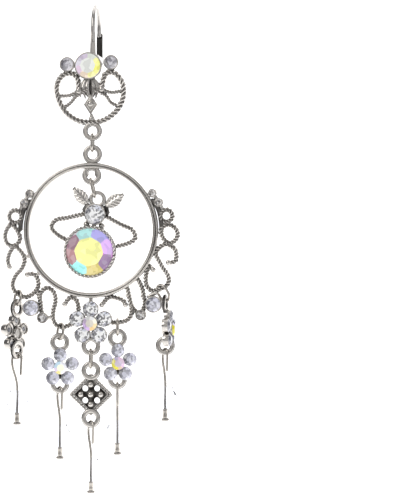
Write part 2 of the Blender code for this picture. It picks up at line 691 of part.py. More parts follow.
def pendant_matrix():
    # The inner link rests beside the top of the pendant's eye, the grip's angle from it
    reach = eye_major(PENDANT_EYE_BAR)
    beside = Vector((reach * math.sin(PENDANT_GRIP), 0, reach * (1 - math.cos(PENDANT_GRIP))))
    lean = Matrix.Rotation(PENDANT_LEAN, 4, "Y")
    return Matrix.Translation(pendant_eye_bar()) @ lean @ Matrix.Translation(beside)


def pendant_levels():
    # Heights of the eye, the small stone and the large stone under the top of the eye
    eye_level = -eye_major(PENDANT_EYE_BAR)
    cup_level = eye_level - eye_major(PENDANT_EYE_BAR) - PENDANT_CUP.radius + CUP_LAP
    bezel_level = cup_level - PENDANT_CUP.radius - PENDANT_BEZEL.radius - BEZEL_GAP
    return eye_level, cup_level, bezel_level


def mirrored(route, side):
    return [(side * across, up) for across, up in route]


def add_pendant():
    eye_level, cup_level, bezel_level = pendant_levels()
    small = Vector((0, 0, cup_level))
    large = Vector((0, 0, bezel_level))
    size = PENDANT_BEZEL.radius
    parts = [cup(PENDANT_BEZEL, large), cup(PENDANT_CUP, small), eye((0, 0, eye_level), PENDANT_EYE_BAR)]
    start = (PENDANT_CUP.radius * LOOP_START_SHARE / size, (cup_level - bezel_level) / size)
    touch_level = (cup_level * size + bezel_level * PENDANT_CUP.radius) / (size + PENDANT_CUP.radius)
    neck = [Vector((0, 0, cup_level - PENDANT_CUP.radius * NECK_SHARE)),
            Vector((0, 0, bezel_level + size * NECK_SHARE))]
    parts.append(tube(neck, PENDANT_STRAND_RADIUS))
    for side in (-1, 1):
        loop = mirrored([start] + PENDANT_LOOP, side)
        parts.append(strand(large, size, loop, PENDANT_STRAND_RADIUS))
        leaf = mirrored(PENDANT_LEAF, side)
        parts.append(strand(Vector((0, 0, eye_level)), size, leaf, PENDANT_STRAND_RADIUS, swell=LEAF_SWELL))
        beside = Vector((side * PENDANT_CUP.radius * BEAD_SIDE_SHARE, 0, touch_level))
        parts.append(ball(beside, PENDANT_BEAD_RADIUS))
    place = pendant_matrix()
    rooms = [hollow(PENDANT_BEZEL, large), hollow(PENDANT_CUP, small)]
    fuse("pendant_frame", [moved(part, place) for part in parts], metal("pendant_frame"),
         [moved(room, place) for room in rooms])
    for name, setting, level, colour in (("small", PENDANT_CUP, small, (0.7, 0.72, 0.75)),
                                         ("large", PENDANT_BEZEL, large, (0.6, 0.4, 0.6))):
        gem = add_stone("stone_pendant_" + name, setting, level, colour)
        gem.data.transform(place)


# Small drops

def drop_bars():
    centre = hoop_centre()
    size = HOOP_OUTER_RADIUS
    half = HOOP_STRAND_RADIUS
    lower = lower_eye_centre() - Vector((0, 0, eye_major(EYE_BAR)))
    return {"outer_left": (on_plan(centre, size, OUTER_LEFT_BAIL), half),
            "inner_left": (on_plan(centre, size, INNER_LEFT_BAIL), half),
            "centre": (lower, EYE_BAR / 2),
            "inner_right": (on_plan(centre, size, INNER_RIGHT_BAIL), half),
            "outer_right": (on_plan(centre, size, OUTER_RIGHT_BAIL), half)}


def flower_levels():
    # Depths of the flower and its lower eye under the upper eye's centre
    reach = DROP_CUP.radius + DROP_PETAL_RADIUS - PETAL_LAP
    outer = eye_major(EYE_BAR) + EYE_BAR / 2
    flower = -(outer + reach + DROP_PETAL_RADIUS - DROP_EYE_LAP)
    lower = flower - DROP_CUP.radius - DROP_NECK - outer
    return reach, flower, lower


def drop_petal():
    radius = DROP_PETAL_RADIUS
    profile = [(0, 0), (radius, 0), (radius, DROP_PETAL_EDGE),
               (radius * TABLE_SHARE, DROP_PETAL_HEIGHT), (0, DROP_PETAL_HEIGHT)]
    return turned(profile, PETAL_FACETS)


def add_flower(drop, eye_place):
    reach, flower, lower = flower_levels()
    turn = Matrix.Translation(eye_place) @ Matrix.Rotation(drop.turn, 4, "Z")
    centre = Vector((0, 0, flower))
    parts = [cup(DROP_CUP, centre), eye((0, 0, 0)), eye((0, 0, lower), turn=drop.lower_turn - drop.turn)]
    for index, place in enumerate(petal_places(centre, reach)):
        # A corner of each petal points at the middle
        aim = Matrix.Rotation(-2 * math.pi * index / 5, 4, "Y")
        parts.append(moved(drop_petal(), Matrix.Translation(place) @ aim @ FACE_FRONT))
    fuse("flower_" + drop.name, [moved(part, turn) for part in parts], metal("flower_" + drop.name),
         [moved(hollow(DROP_CUP, centre), turn)])
    gem = add_stone("stone_flower_" + drop.name, DROP_CUP, centre, (0.55, 0.5, 0.6))
    gem.data.transform(turn)
    return eye_place + Vector((0, 0, lower))


def add_diamond(eye_place):
    outer_level = -(eye_major(EYE_BAR) + DIAMOND_HALF_HEIGHT)
    middle = eye_place + Vector((0, 0, outer_level))
    lower = middle + Vector((0, 0, outer_level))
    wide = Vector((DIAMOND_HALF_WIDTH, 0, 0))
    high = Vector((0, 0, DIAMOND_HALF_HEIGHT))
    corners = [middle + high, middle + wide, middle - high, middle - wide]
    rim = []
    for index, corner in enumerate(corners):
        following = corners[(index + 1) % len(corners)]
        rim += [corner.lerp(following, share) for share in DIAMOND_CORNER_CUTS]
    parts = [tube(rim, DIAMOND_RIM_RADIUS, closed=True), eye(eye_place), eye(lower)]
    parts += [tube([middle - high, middle + high], HOOP_STRAND_RADIUS),
              tube([middle - wide, middle + wide], HOOP_STRAND_RADIUS), ball(middle, DIAMOND_BEAD_RADIUS)]
    for corner in corners:
        parts.append(ball(middle.lerp(corner, 0.5), DIAMOND_SMALL_BEAD_RADIUS))
    fuse("diamond_centre", parts, metal("diamond_centre"))
    return lower


def headpin_points():
    # Up the pin, round a narrow hairpin and down its tail, with the hung bar's centre at the origin
    half_width = HAIRPIN_INNER_WIDTH / 2 + HEADPIN_WIRE_RADIUS
    top = EYE_BAR / 2 + LINK_GAP + HEADPIN_WIRE_RADIUS
    arc_level = top - half_width
    points = [Vector((0, 0, top - HEADPIN_LENGTH)), Vector((0, 0, top - HAIRPIN_TAIL - 2 * half_width)),
              Vector((0, half_width, top - HAIRPIN_TAIL + 2 * half_width))]
    for step in range(END_ARC_STEPS + 1):
        turn = math.pi * step / END_ARC_STEPS
        points.append(Vector((0, half_width * math.cos(turn), arc_level + half_width * math.sin(turn))))
    points.append(Vector((0, -half_width * HAIRPIN_PINCH, top - HAIRPIN_TAIL)))
    return points


def pin_place(drop, eye_place):
    bar = eye_place - Vector((0, 0, eye_major(EYE_BAR)))
    return Matrix.Translation(bar) @ Matrix.Rotation(drop.pin_turn, 4, "Z")


def add_headpin(drop, eye_place):
    name = "headpin_" + drop.name
    place = pin_place(drop, eye_place)
    foot = EYE_BAR / 2 + LINK_GAP + HEADPIN_WIRE_RADIUS - HEADPIN_LENGTH
    head = [(0, foot - HEAD_THICKNESS / 2), (HEAD_RADIUS, foot - HEAD_THICKNESS / 2),
            (HEAD_RADIUS, foot + HEAD_THICKNESS / 2), (0, foot + HEAD_THICKNESS / 2)]
    parts = [turned(head, PIN_FACETS), tube(headpin_points(), HEADPIN_WIRE_RADIUS)]
    fuse(name, [moved(part, place) for part in parts], metal(name))
    seat = foot + HEAD_THICKNESS / 2 + SEAT_GAP
    hole = HEADPIN_WIRE_RADIUS + THREAD_GAP
    tube_top = seat + TUBE_LENGTH
    sleeve = [(hole, seat), (TUBE_RADIUS, seat), (TUBE_RADIUS, tube_top), (hole, tube_top)]
    sleeve_mesh = moved(turned(sleeve, PIN_FACETS, closed=True), place)
    add_object("tube_" + drop.name, smoothed(sleeve_mesh), metal("tube_" + drop.name))
    low = tube_top + SEAT_GAP
    high = low + 2 * BEAD_HALF_HEIGHT
    middle = low + BEAD_HALF_HEIGHT
    bead = [(hole, low), (BEAD_RIM_RADIUS, low), (BEAD_RADIUS, middle), (BEAD_RIM_RADIUS, high), (hole, high)]
    bead_mesh = moved(turned(bead, ROUND_FACETS, closed=True), place)
    add_object("bead_" + drop.name, bead_mesh, crystal("bead_" + drop.name, (0.9, 0.92, 0.94)))


def add_drop(drop):
    bar, half_bar = drop_bars()[drop.name]
    add_link("link_" + drop.name, bar, half_bar, drop.link_length, drop.lean, drop.spin)
    hung = hung_bar(bar, half_bar, drop.link_length, EYE_BAR / 2, drop.lean)
    eye_place = hung - Vector((0, 0, eye_major(EYE_BAR)))
    if drop.name == "centre":
        lower = add_diamond(eye_place)
    else:
        lower = add_flower(drop, eye_place)
    add_headpin(drop, lower)


def main():
    clear_scene()
    add_ear_hook()
    add_lever()
    add_top_ornament()
    add_link("upper_link", top_eye_centre() - Vector((0, 0, eye_major(EYE_BAR))), EYE_BAR / 2,
             MAIN_LINK_LENGTH)
    add_hoop()
    add_link("inner_link", inner_eye_centre() - Vector((0, 0, eye_major(EYE_BAR))), EYE_BAR / 2,
             INNER_LINK_LENGTH, INNER_LINK_LEAN)
    add_pendant()
    for drop in DROPS:
        add_drop(drop)


main()
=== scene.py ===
import math

import bmesh
import bpy
import numpy as np
from mathutils import Matrix, Vector


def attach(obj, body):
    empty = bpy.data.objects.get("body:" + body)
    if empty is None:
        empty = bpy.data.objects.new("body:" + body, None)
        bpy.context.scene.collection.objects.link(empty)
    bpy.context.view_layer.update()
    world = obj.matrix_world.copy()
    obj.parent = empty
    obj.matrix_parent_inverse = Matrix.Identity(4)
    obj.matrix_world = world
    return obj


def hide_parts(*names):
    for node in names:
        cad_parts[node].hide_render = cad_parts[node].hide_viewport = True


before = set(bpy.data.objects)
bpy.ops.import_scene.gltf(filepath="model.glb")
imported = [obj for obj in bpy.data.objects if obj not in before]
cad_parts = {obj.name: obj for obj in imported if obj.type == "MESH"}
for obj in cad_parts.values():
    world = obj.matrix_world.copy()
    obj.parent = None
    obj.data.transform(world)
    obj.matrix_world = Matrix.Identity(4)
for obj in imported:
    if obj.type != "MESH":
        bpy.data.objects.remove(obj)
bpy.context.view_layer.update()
bpy.ops.object.select_all(action="DESELECT")

mm = 0.001
castPlane = -5.45 * mm  # middle plane of the cast strands
eyes = {"hole": 0.98 * mm, "bar": 0.95 * mm, "depth": 0.80 * mm, "square": 0.85, "dent": 0.14}
print("frame loaded")

# Materials

# The lever colour is near black: painted shade for a lever that stands in shadow
silver = {
    "bright": (0.68, 0.65, 0.615), "dark": (0.022, 0.019, 0.018), "wire": (0.60, 0.565, 0.52),
    "hook": (0.62, 0.595, 0.57), "lever": (0.06, 0.058, 0.055), "rough": (0.13, 0.26), "dirtRough": 0.25,
    "grainScale": 5200.0, "grainDepth": 0.02 * mm, "cloudScale": 620.0, "hollowReach": 0.75 * mm,
    "hollow": (0.26, 0.74), "groove": (0.36, 0.04)}
glass = {"ior": 1.58, "coat": 0.4, "coatRough": 0.03, "beadIor": 1.14, "inside": 0.45}
noiseBand = (0.3, 0.7)  # where most of a noise texture's values lie


def addNode(tree, kind, **values):
    node = tree.nodes.new(kind)
    for key, value in values.items():
        if key in node.inputs:
            node.inputs[key].default_value = value
        else:
            setattr(node, key, value)
    return node


def newMaterial(name):
    material = bpy.data.materials.new(name)
    material.use_nodes = True
    tree = material.node_tree
    return material, tree, tree.nodes["Principled BSDF"]


def rangeNode(tree, source, fromLow, fromHigh, toLow=0.0, toHigh=1.0):
    ends = {"From Min": fromLow, "From Max": fromHigh, "To Min": toLow, "To Max": toHigh}
    node = addNode(tree, "ShaderNodeMapRange", **ends)
    tree.links.new(source, node.inputs["Value"])
    return node.outputs["Result"]


def noiseNode(tree, coords, scale, detail=2.0):
    node = addNode(tree, "ShaderNodeTexNoise", Scale=scale, Detail=detail)
    tree.links.new(coords, node.inputs["Vector"])
    return node.outputs["Fac"]


def mathNode(tree, operation, first, second):
    node = addNode(tree, "ShaderNodeMath", operation=operation)
    for socket, value in zip(node.inputs, (first, second)):
        if isinstance(value, float):
            socket.default_value = value
        else:
            tree.links.new(value, socket)
    return node.outputs[0]


def mixColours(tree, share, first, second, blend="MIX"):
    node = addNode(tree, "ShaderNodeMix", data_type="RGBA", blend_type=blend)
    for socket, value in ((node.inputs[0], share), (node.inputs[6], first), (node.inputs[7], second)):
        if isinstance(value, (tuple, float)):
            socket.default_value = (*value, 1.0) if isinstance(value, tuple) else value
        else:
            tree.links.new(value, socket)
    return node.outputs[2]


def antiqueSilver(name, bright, patina):
    # Polished cast silver whose hollows stay black with patina, while its vertex mask also darkens some edges
    # and parts as painted shade; patina 0 to 1
    material, tree, shader = newMaterial(name)
    link = tree.links.new
    coords = addNode(tree, "ShaderNodeTexCoord").outputs["Object"]
    grain = noiseNode(tree, coords, silver["grainScale"], 4.0)
    cloud = noiseNode(tree, coords, silver["cloudScale"], 3.0)
    wearAndShade = addNode(tree, "ShaderNodeAttribute", attribute_name="wearAndShade").outputs["Fac"]
    hollow = addNode(tree, "ShaderNodeAmbientOcclusion", Distance=silver["hollowReach"])
    hollow.samples = 8
    shade = rangeNode(tree, hollow.outputs["AO"], *silver["hollow"], 1.0, 0.0)
    # Dark patina in hollows and grooves, plus painted shade where the vertex mask marks edges and parts dark
    dirtAndShade = mathNode(tree, "MAXIMUM", shade, rangeNode(tree, wearAndShade, *silver["groove"]))
    dirtAndShade = mathNode(tree, "MULTIPLY", dirtAndShade, rangeNode(tree, cloud, 0.35, 0.70, 0.75, 1.15))
    dirtAndShade = mathNode(tree, "MULTIPLY", dirtAndShade, patina)
    tone = mixColours(tree, rangeNode(tree, grain, *noiseBand, 0.0, 0.4), bright,
                      tuple(part * 0.72 for part in bright))
    link(mixColours(tree, dirtAndShade, tone, silver["dark"]), shader.inputs["Base Color"])
    rough = rangeNode(tree, grain, *noiseBand, *silver["rough"])
    rough = mathNode(tree, "ADD", rough, mathNode(tree, "MULTIPLY", dirtAndShade, silver["dirtRough"]))
    link(rough, shader.inputs["Roughness"])
    shader.inputs["Metallic"].default_value = 1.0
    bump = addNode(tree, "ShaderNodeBump", Strength=0.35, Distance=silver["grainDepth"])
    link(grain, bump.inputs["Height"])
    link(bump.outputs["Normal"], shader.inputs["Normal"])
    return material


def cutGlass(name, glow, rough, glintScale, sparkle):
    # Foiled cut glass; each facet has its own tint, kept on the mesh, partly its own colour and partly
    # painted reflection, broken up by painted white glints and painted dark specks, and it glows with painted
    # light
    material, tree, shader = newMaterial(name)
    tintAndReflection = addNode(tree, "ShaderNodeAttribute", attribute_name="tintAndReflection").outputs["Color"]
    shards = addNode(tree, "ShaderNodeTexVoronoi", Scale=glintScale)
    tree.links.new(addNode(tree, "ShaderNodeTexCoord").outputs["Object"], shards.inputs["Vector"])
    parting = addNode(tree, "ShaderNodeSeparateColor")
    tree.links.new(shards.outputs["Color"], parting.inputs[0])
    bright = rangeNode(tree, parting.outputs[0], 0.62, 0.78, 0.0, sparkle)
    darkGlints = rangeNode(tree, parting.outputs[1], 0.55, 0.75, 0.0, sparkle * 1.3)
    glints = mixColours(tree, bright, tintAndReflection, (0.95, 0.95, 0.97))
    glints = mixColours(tree, darkGlints, glints, (0.03, 0.03, 0.04))
    tree.links.new(mixColours(tree, glass["inside"], glints, (0.0, 0.0, 0.0)), shader.inputs["Base Color"])
    # Painted light: the stone glows with its facet colours and glints
    tree.links.new(glints, shader.inputs["Emission Color"])
    for socket, value in (("Emission Strength", glow), ("Roughness", rough), ("IOR", glass["ior"]),
                          ("Coat Weight", glass["coat"]), ("Coat Roughness", glass["coatRough"])):
        shader.inputs[socket].default_value = value
    return material


def clearGlass(name):
    material, tree, shader = newMaterial(name)
    haze = noiseNode(tree, addNode(tree, "ShaderNodeTexCoord").outputs["Object"], 900.0)
    colour = mixColours(tree, rangeNode(tree, haze, *noiseBand), (0.97, 0.98, 1.0), (0.93, 0.94, 0.98))
    tree.links.new(colour, shader.inputs["Base Color"])
    tree.links.new(rangeNode(tree, haze, *noiseBand, 0.0, 0.02), shader.inputs["Roughness"])
    shader.inputs["Transmission Weight"].default_value = 1.0
    shader.inputs["IOR"].default_value = glass["beadIor"]
    return material


castSilver = antiqueSilver("castSilver", silver["bright"], 1.0)
wireSilver = antiqueSilver("wireSilver", silver["wire"], 0.45)
hookSilver = antiqueSilver("hookSilver", silver["hook"], 0.7)
# The lever's silver is painted near black as painted shade
leverShadeSilver = antiqueSilver("leverShadeSilver", silver["lever"], 0.9)
bigStoneGlass = cutGlass("bigStoneGlass", 0.62, 0.05, 900.0, 0.14)
smallStoneGlass = cutGlass("smallStoneGlass", 0.52, 0.06, 2000.0, 0.36)
sparkGlass = cutGlass("sparkGlass", 0.45, 0.05, 2600.0, 0.60)
beadGlass = clearGlass("beadGlass")
print("materials ready")


# Shaping helpers

def selectOnly(*pieces):
    bpy.ops.object.select_all(action="DESELECT")
    for piece in pieces:
        piece.select_set(True)
    bpy.context.view_layer.objects.active = pieces[0]


def openMesh():
    bpy.ops.object.mode_set(mode="EDIT")
    return bmesh.from_edit_mesh(bpy.context.object.data)


def closeMesh():
    bpy.ops.object.mode_set(mode="OBJECT")


def placed(piece, matrix):
    # Moves the mesh itself, so the object stays at the origin
    piece.data.transform(matrix)
    piece.data.update()
    return piece


def spun(angle, axis):
    return Matrix.Rotation(angle, 4, axis)


def facing(x, z, back=0.0):
    # Local +Z faces the front, local +Y points up
    return Matrix.Translation((x, castPlane + back, z)) @ spun(math.pi / 2, "X")


def up(height):
    return Vector((0, 0, height))


def spoke(turn, reach=1.0, height=0.0):
    return Vector((reach * math.cos(turn), reach * math.sin(turn), height))


def circle(count, start=0.0):
    return [start + 2 * math.pi * index / count for index in range(count)]


def smoothPoints(points, closed=False, share=8):
    count = len(points)
    path = []
    for index in range(count if closed else count - 1):
        near = [points[(index + step) % count] if closed else points[min(max(index + step, 0), count - 1)]
                for step in (-1, 0, 1, 2)]
        for part in range(share):
            t = part / share
            path.append(0.5 * (2 * near[1] + (near[2] - near[0]) * t
                               + (2 * near[0] - 5 * near[1] + 4 * near[2] - near[3]) * t ** 2
                               + (3 * near[1] - near[0] - 3 * near[2] + near[3]) * t ** 3))
    if not closed:
        path.append(points[-1])
    return path


def evenPoints(path, step, closed=False):
    # Points at an even spacing along the path, with their distances
    knots = path + [path[0]] if closed else path
    lengths = [0.0]
    for first, second in zip(knots, knots[1:]):
        lengths.append(lengths[-1] + (second - first).length)
    count = max(2, round(lengths[-1] / step))
    marks = [lengths[-1] * index / count for index in range(count if closed else count + 1)]
    places = []
    leg = 0
    for mark in marks:
        while leg < len(lengths) - 2 and lengths[leg + 1] < mark:
            leg += 1
        span = max(lengths[leg + 1] - lengths[leg], 1e-12)
        places.append(knots[leg].lerp(knots[leg + 1], (mark - lengths[leg]) / span))
    return places, marks, lengths[-1]


def routeCurve(places, sizes, tilts, closed):
    bpy.ops.curve.primitive_nurbs_path_add()
    route = bpy.context.object
    route.data.splines.clear()
    spline = route.data.splines.new("POLY")
    spline.points.add(len(places) - 1)
    spline.use_cyclic_u = closed
    for point, place, size, tilt in zip(spline.points, places, sizes, tilts):
        point.co = (*place, 1.0)
        point.radius = size
        point.tilt = tilt
    return route


def roundedEnds(marks, total, radius, closed):
    if closed:
        return [1.0] * len(marks)
    sizes = []
    for mark in marks:
        near = min(mark, total - mark) / radius
        sizes.append(1.0 if near >= 1 else math.sqrt(max(1 - (1 - near) ** 2, 0.015)))
    return sizes


def sealed():
    # Joins doubled points, turns the normals out and leaves edit mode
    bpy.ops.mesh.select_all(action="SELECT")
    bpy.ops.mesh.remove_doubles(threshold=1e-7)
    bpy.ops.mesh.normals_make_consistent(inside=False)
    closeMesh()
    return bpy.context.object


def asMesh(route):
    selectOnly(route)
    bpy.ops.object.convert(target="MESH")
    openMesh()
    return sealed()


ropeCore = 0.56  # radius at the bottom of the groove between two strands, as a share of the rope's
strandPoints = 6


def ropeProfile(strands):
    # Cross-section of round strands laid together, one unit across its radius
    bpy.ops.curve.primitive_bezier_circle_add()
    profile = bpy.context.object
    profile.data.splines.clear()
    spline = profile.data.splines.new("POLY")
    turns = circle(strands * strandPoints)
    spline.points.add(len(turns) - 1)
    spline.use_cyclic_u = True
    for index, turn in enumerate(turns):
        # One on the back of a strand, down to the core in the groove between two
        reach = 1.0 - (1.0 - ropeCore) * abs(math.sin(math.pi * index / strandPoints)) ** 2.2
        spline.points[index].co = (reach * math.cos(turn), reach * math.sin(turn), 0.0, 1.0)
    profile.data.dimensions = "2D"
    return profile


ropeShapes = {strands: ropeProfile(strands) for strands in (2, 3)}


def setWearAndShade(piece, values):
    layer = piece.data.attributes.new("wearAndShade", "FLOAT", "POINT")
    layer.data.foreach_set("value", values)
    return piece


def paintedDark(piece, wearAndShade=0.0):
    # A part that stays dark all over; the backing behind the top leaves and the arc over the dome are painted
    # shade
    return setWearAndShade(piece, [wearAndShade] * len(piece.data.vertices))


def ropeAlong(points, radius, lay, closed=False, strands=3, smooth=True):
    # A twisted rope of the given radius, one full turn per lay
    path = smoothPoints(points, closed) if smooth else points
    places, marks, total = evenPoints(path, lay / 16, closed)
    turns = total / lay
    if closed:
        turns = round(turns * strands) / strands
    tilts = [2 * math.pi * turns * mark / total for mark in marks]
    sizes = [radius * size for size in roundedEnds(marks, total, radius, closed)]
    route = routeCurve(places, sizes, tilts, closed)
    route.data.bevel_mode = "OBJECT"
    route.data.bevel_object = ropeShapes[strands]
    route.data.use_fill_caps = not closed
    rope = asMesh(route)
    # How far each point stands out from the rope's middle, from groove (0) to strand (1)
    spots = np.array([place[:] for place in places])
    corners = np.array([vertex.co[:] for vertex in rope.data.vertices])
    away = np.linalg.norm(corners[:, None] - spots[None], axis=2)
    reach = away.min(axis=1) / np.array(sizes)[away.argmin(axis=1)]
    return setWearAndShade(rope, np.clip((reach - ropeCore) / (1 - ropeCore), 0, 1))


def wireAlong(points, radius, closed=False, smooth=True, swell=None, step=None, sides=3):
    path = smoothPoints(points, closed) if smooth else points
    places, marks, total = evenPoints(path, step or radius * 0.8, closed)
    sizes = roundedEnds(marks, total, radius, closed)
    if swell:
        last = len(swell) - 1
        for index, mark in enumerate(marks):
            along = mark / total * last
            low = min(int(along), last - 1)
            sizes[index] *= swell[low] + (swell[low + 1] - swell[low]) * (along - low)
    route = routeCurve(places, sizes, [0.0] * len(places), closed)
    route.data.bevel_depth = radius
    route.data.bevel_resolution = sides
    route.data.use_fill_caps = not closed
    return asMesh(route)


def ringPoints(radius, count=64, height=0.0):
    return [spoke(turn, radius, height) for turn in circle(count)]


def turnedPiece(profile, sides=40):
    # Extrudes a profile of (radius, height) from one vertex and spins it round Z
    bpy.ops.mesh.primitive_plane_add(size=1 * mm)
    openMesh()
    bpy.ops.mesh.select_all(action="SELECT")
    bpy.ops.mesh.merge(type="CENTER")
    bpy.ops.transform.translate(value=(profile[0][0], 0, profile[0][1]))
    for first, second in zip(profile, profile[1:]):
        step = (second[0] - first[0], 0, second[1] - first[1])
        bpy.ops.mesh.extrude_region_move(TRANSFORM_OT_translate={"value": step})
    bpy.ops.mesh.select_all(action="SELECT")
    bpy.ops.mesh.spin(steps=sides, angle=2 * math.pi, center=(0, 0, 0), axis=(0, 0, 1))
    return sealed()


def eyeRing(holeRadius, bar, depth):
    # A cast eye: a flattened ring with a fine groove along its face and edges darkened as painted shade
    middle, half = holeRadius + bar / 2, bar / 2
    bpy.ops.mesh.primitive_torus_add(major_segments=40, minor_segments=16, major_radius=middle,
                                     minor_radius=half)
    shape = openMesh()
    edgeShade = []
    for vertex in shape.verts:
        reach = math.hypot(vertex.co.x, vertex.co.y)
        away, rise = (reach - middle) / half, vertex.co.z / half
        flatter = math.copysign(abs(away) ** eyes["square"], away)
        dent = 1 - math.exp(-(flatter / 0.3) ** 2) * eyes["dent"]
        # Painted shade: light in the middle of the bar, dark towards both edges
        edgeShade.append(min(max(1.35 - 1.5 * abs(away), 0.0), 1.0))
        vertex.co.z = math.copysign(abs(rise) ** eyes["square"], rise) * depth / 2 * dent
        vertex.co.x *= (middle + flatter * half * 1.05) / reach
        vertex.co.y *= (middle + flatter * half * 1.05) / reach
    bmesh.update_edit_mesh(bpy.context.object.data)
    closeMesh()
    return setWearAndShade(bpy.context.object, edgeShade)


def castEye(matrix, bar=None):
    return placed(eyeRing(eyes["hole"], bar or eyes["bar"], eyes["depth"]), matrix)


def shaped(piece, kind, **settings):
    # Adds a modifier with these settings and applies it
    selectOnly(piece)
    modifier = piece.modifiers.new(kind.lower(), kind)
    for key, value in settings.items():
        setattr(modifier, key, value)
    bpy.ops.object.modifier_apply(modifier=modifier.name)
    return piece


def beveled(piece, width, segments=2, angle=35):
    return shaped(piece, "BEVEL", width=width, segments=segments, limit_method="ANGLE",
                  angle_limit=math.radians(angle))


def insetFaces(piece, chosen, wall, push, grow):
    # Insets the chosen faces, pushes them along Z and resizes them
    selectOnly(piece)
    shape = openMesh()
    bpy.ops.mesh.select_mode(type="FACE")
    bpy.ops.mesh.select_all(action="DESELECT")
    for face in shape.faces:
        face.select = chosen(face)
    bpy.ops.mesh.inset(thickness=wall)
    bpy.ops.mesh.extrude_region_move(TRANSFORM_OT_translate={"value": (0, 0, push)})
    bpy.ops.transform.resize(value=(grow, grow, 1))
    bpy.ops.mesh.select_mode(type="VERT")
    closeMesh()
    return piece


def isFront(face):
    return face.normal.z > 0.9


def stoneCup(radius, wall, depth, sides=36):
    # A cylinder whose front is inset and pushed in to seat the stone
    bpy.ops.mesh.primitive_cylinder_add(vertices=sides, radius=radius, depth=depth, location=up(depth / 2))
    cupPiece = bpy.context.object
    bpy.ops.object.transform_apply(location=True)
    insetFaces(cupPiece, isFront, wall, -depth * 0.6, 0.8)
    return beveled(cupPiece, wall * 0.3)


def openedBack(cupPiece, wall):
    # Insets the back of a cup and pushes it in
    depth = max(vertex.co.z for vertex in cupPiece.data.vertices)

    def isBack(face):
        return face.normal.z < -0.9 and face.calc_center_median().z < depth * 0.1

    return insetFaces(cupPiece, isBack, wall, depth * 0.14, 0.86)


def castBall(radius, place, squashed=1.0):
    bpy.ops.mesh.primitive_uv_sphere_add(segments=20, ring_count=12, radius=radius)
    ball = bpy.context.object
    return placed(ball, Matrix.Translation(place) @ Matrix.Scale(squashed, 4, (0, 1, 0)))


gem = {"girdle": 0.985, "star": 0.72, "breakTilt": 1.22, "breakTurn": 0.26, "pavilion": (0.76, -0.65)}


def leaned(out, tilt):
    return out * math.sin(tilt) + up(math.cos(tilt))


def cutBrilliant(sides, table, crownHeight, depth):
    # Cuts a brilliant of girdle radius 1 out of a round blank, one facet plane at a time
    bpy.ops.mesh.primitive_cylinder_add(vertices=64, radius=1.0, depth=depth * 2 + 0.1)
    openMesh()
    rise = math.atan2(crownHeight, 1 - table)
    across, fall = gem["pavilion"]
    cuts = [(up(1), up(crownHeight))]
    for index in range(sides):
        out = spoke(2 * math.pi * (index + 0.5) / sides)
        cuts.append((leaned(out, rise), out * gem["girdle"]))
        cuts.append((out * across + up(fall), out * gem["girdle"] + up(-0.06)))
    for turn in circle(sides):
        out = spoke(turn)
        cuts.append((leaned(out, rise * gem["star"]), out * table * 1.02 + up(crownHeight)))
        for side in (-1, 1):
            aside = spoke(turn + side * gem["breakTurn"] * 2 * math.pi / sides)
            cuts.append((leaned(aside, rise * gem["breakTilt"]), aside * 0.99 + up(0.015)))
    for normal, place in cuts:
        bpy.ops.mesh.select_all(action="SELECT")
        bpy.ops.mesh.bisect(plane_co=place, plane_no=normal.normalized(), use_fill=True, clear_outer=True,
                            threshold=1e-5)
    bpy.ops.mesh.select_all(action="SELECT")
    bpy.ops.mesh.dissolve_limited(angle_limit=math.radians(0.5))
    bpy.ops.mesh.normals_make_consistent(inside=False)
    closeMesh()
    bpy.context.object.name = "blank"
    return bpy.context.object


def copied(piece):
    selectOnly(piece)
    bpy.ops.object.duplicate(linked=False)
    return bpy.context.object


def paintFacetTintAndReflection(stone, chart):
    # Table, crown and back facets take their tints from the chart, crown ones by their angle from the right;
    # the tints are partly the stones' own colour and partly painted reflection and shade
    mesh = stone.data
    tintAndReflectionLayer = mesh.color_attributes.new("tintAndReflection", "FLOAT_COLOR", "CORNER")
    for face in mesh.polygons:
        turn = math.degrees(math.atan2(face.center.y, face.center.x)) % 360
        reach = math.hypot(face.center.x, face.center.y)
        if face.normal.z > 0.985:
            colour = chart["table"]
        elif face.normal.z > 0.02:
            colour = next((tintAndReflection for limit, tintAndReflection in chart["crown"] if turn < limit), chart["crown"][-1][1])
        else:
            colour = chart["back"]
        # Painted sparkle: each facet a little lighter or darker by its angle and reach
        flicker = math.sin(turn * 1.7 + reach * 23.0) * chart["flicker"]
        tintAndReflection = [min(max(part * (1 + flicker), 0.0), 1.0) ** 2.2 for part in colour]
        for loop in face.loop_indices:
            tintAndReflectionLayer.data[loop].color = (*tintAndReflection, 1.0)
    return stone


def shadeParts(piece, angle=40):
    selectOnly(piece)
    bpy.ops.object.shade_smooth_by_angle(angle=math.radians(angle))


def readFrom(items, key, width, kind=float):
    values = np.empty(len(items) * width, dtype=kind)
    items.foreach_get(key, values)
    return values.reshape(-1, width)


def markWear(piece):
    # Keeps on the mesh how far each vertex lies in a hollow (0) or on a ridge (1)
    mesh = piece.data
    places, normals = readFrom(mesh.vertices, "co", 3), readFrom(mesh.vertices, "normal", 3)
    first, second = readFrom(mesh.edges, "vertices", 2, np.int64).T
    run = places[second] - places[first]
    length = np.maximum(np.linalg.norm(run, axis=1), 1e-9)
    bend, shares = np.zeros(len(places)), np.zeros(len(places))
    for ends, way in ((first, 1), (second, -1)):
        np.add.at(bend, ends, way * (run * normals[ends]).sum(1) / length)
        np.add.at(shares, ends, 1)
    wearAndShade = np.clip(0.5 - bend / np.maximum(shares, 1) * 1.6, 0, 1)
    total = wearAndShade.copy()
    np.add.at(total, first, wearAndShade[second])
    np.add.at(total, second, wearAndShade[first])
    setWearAndShade(piece, total / (shares + 1))


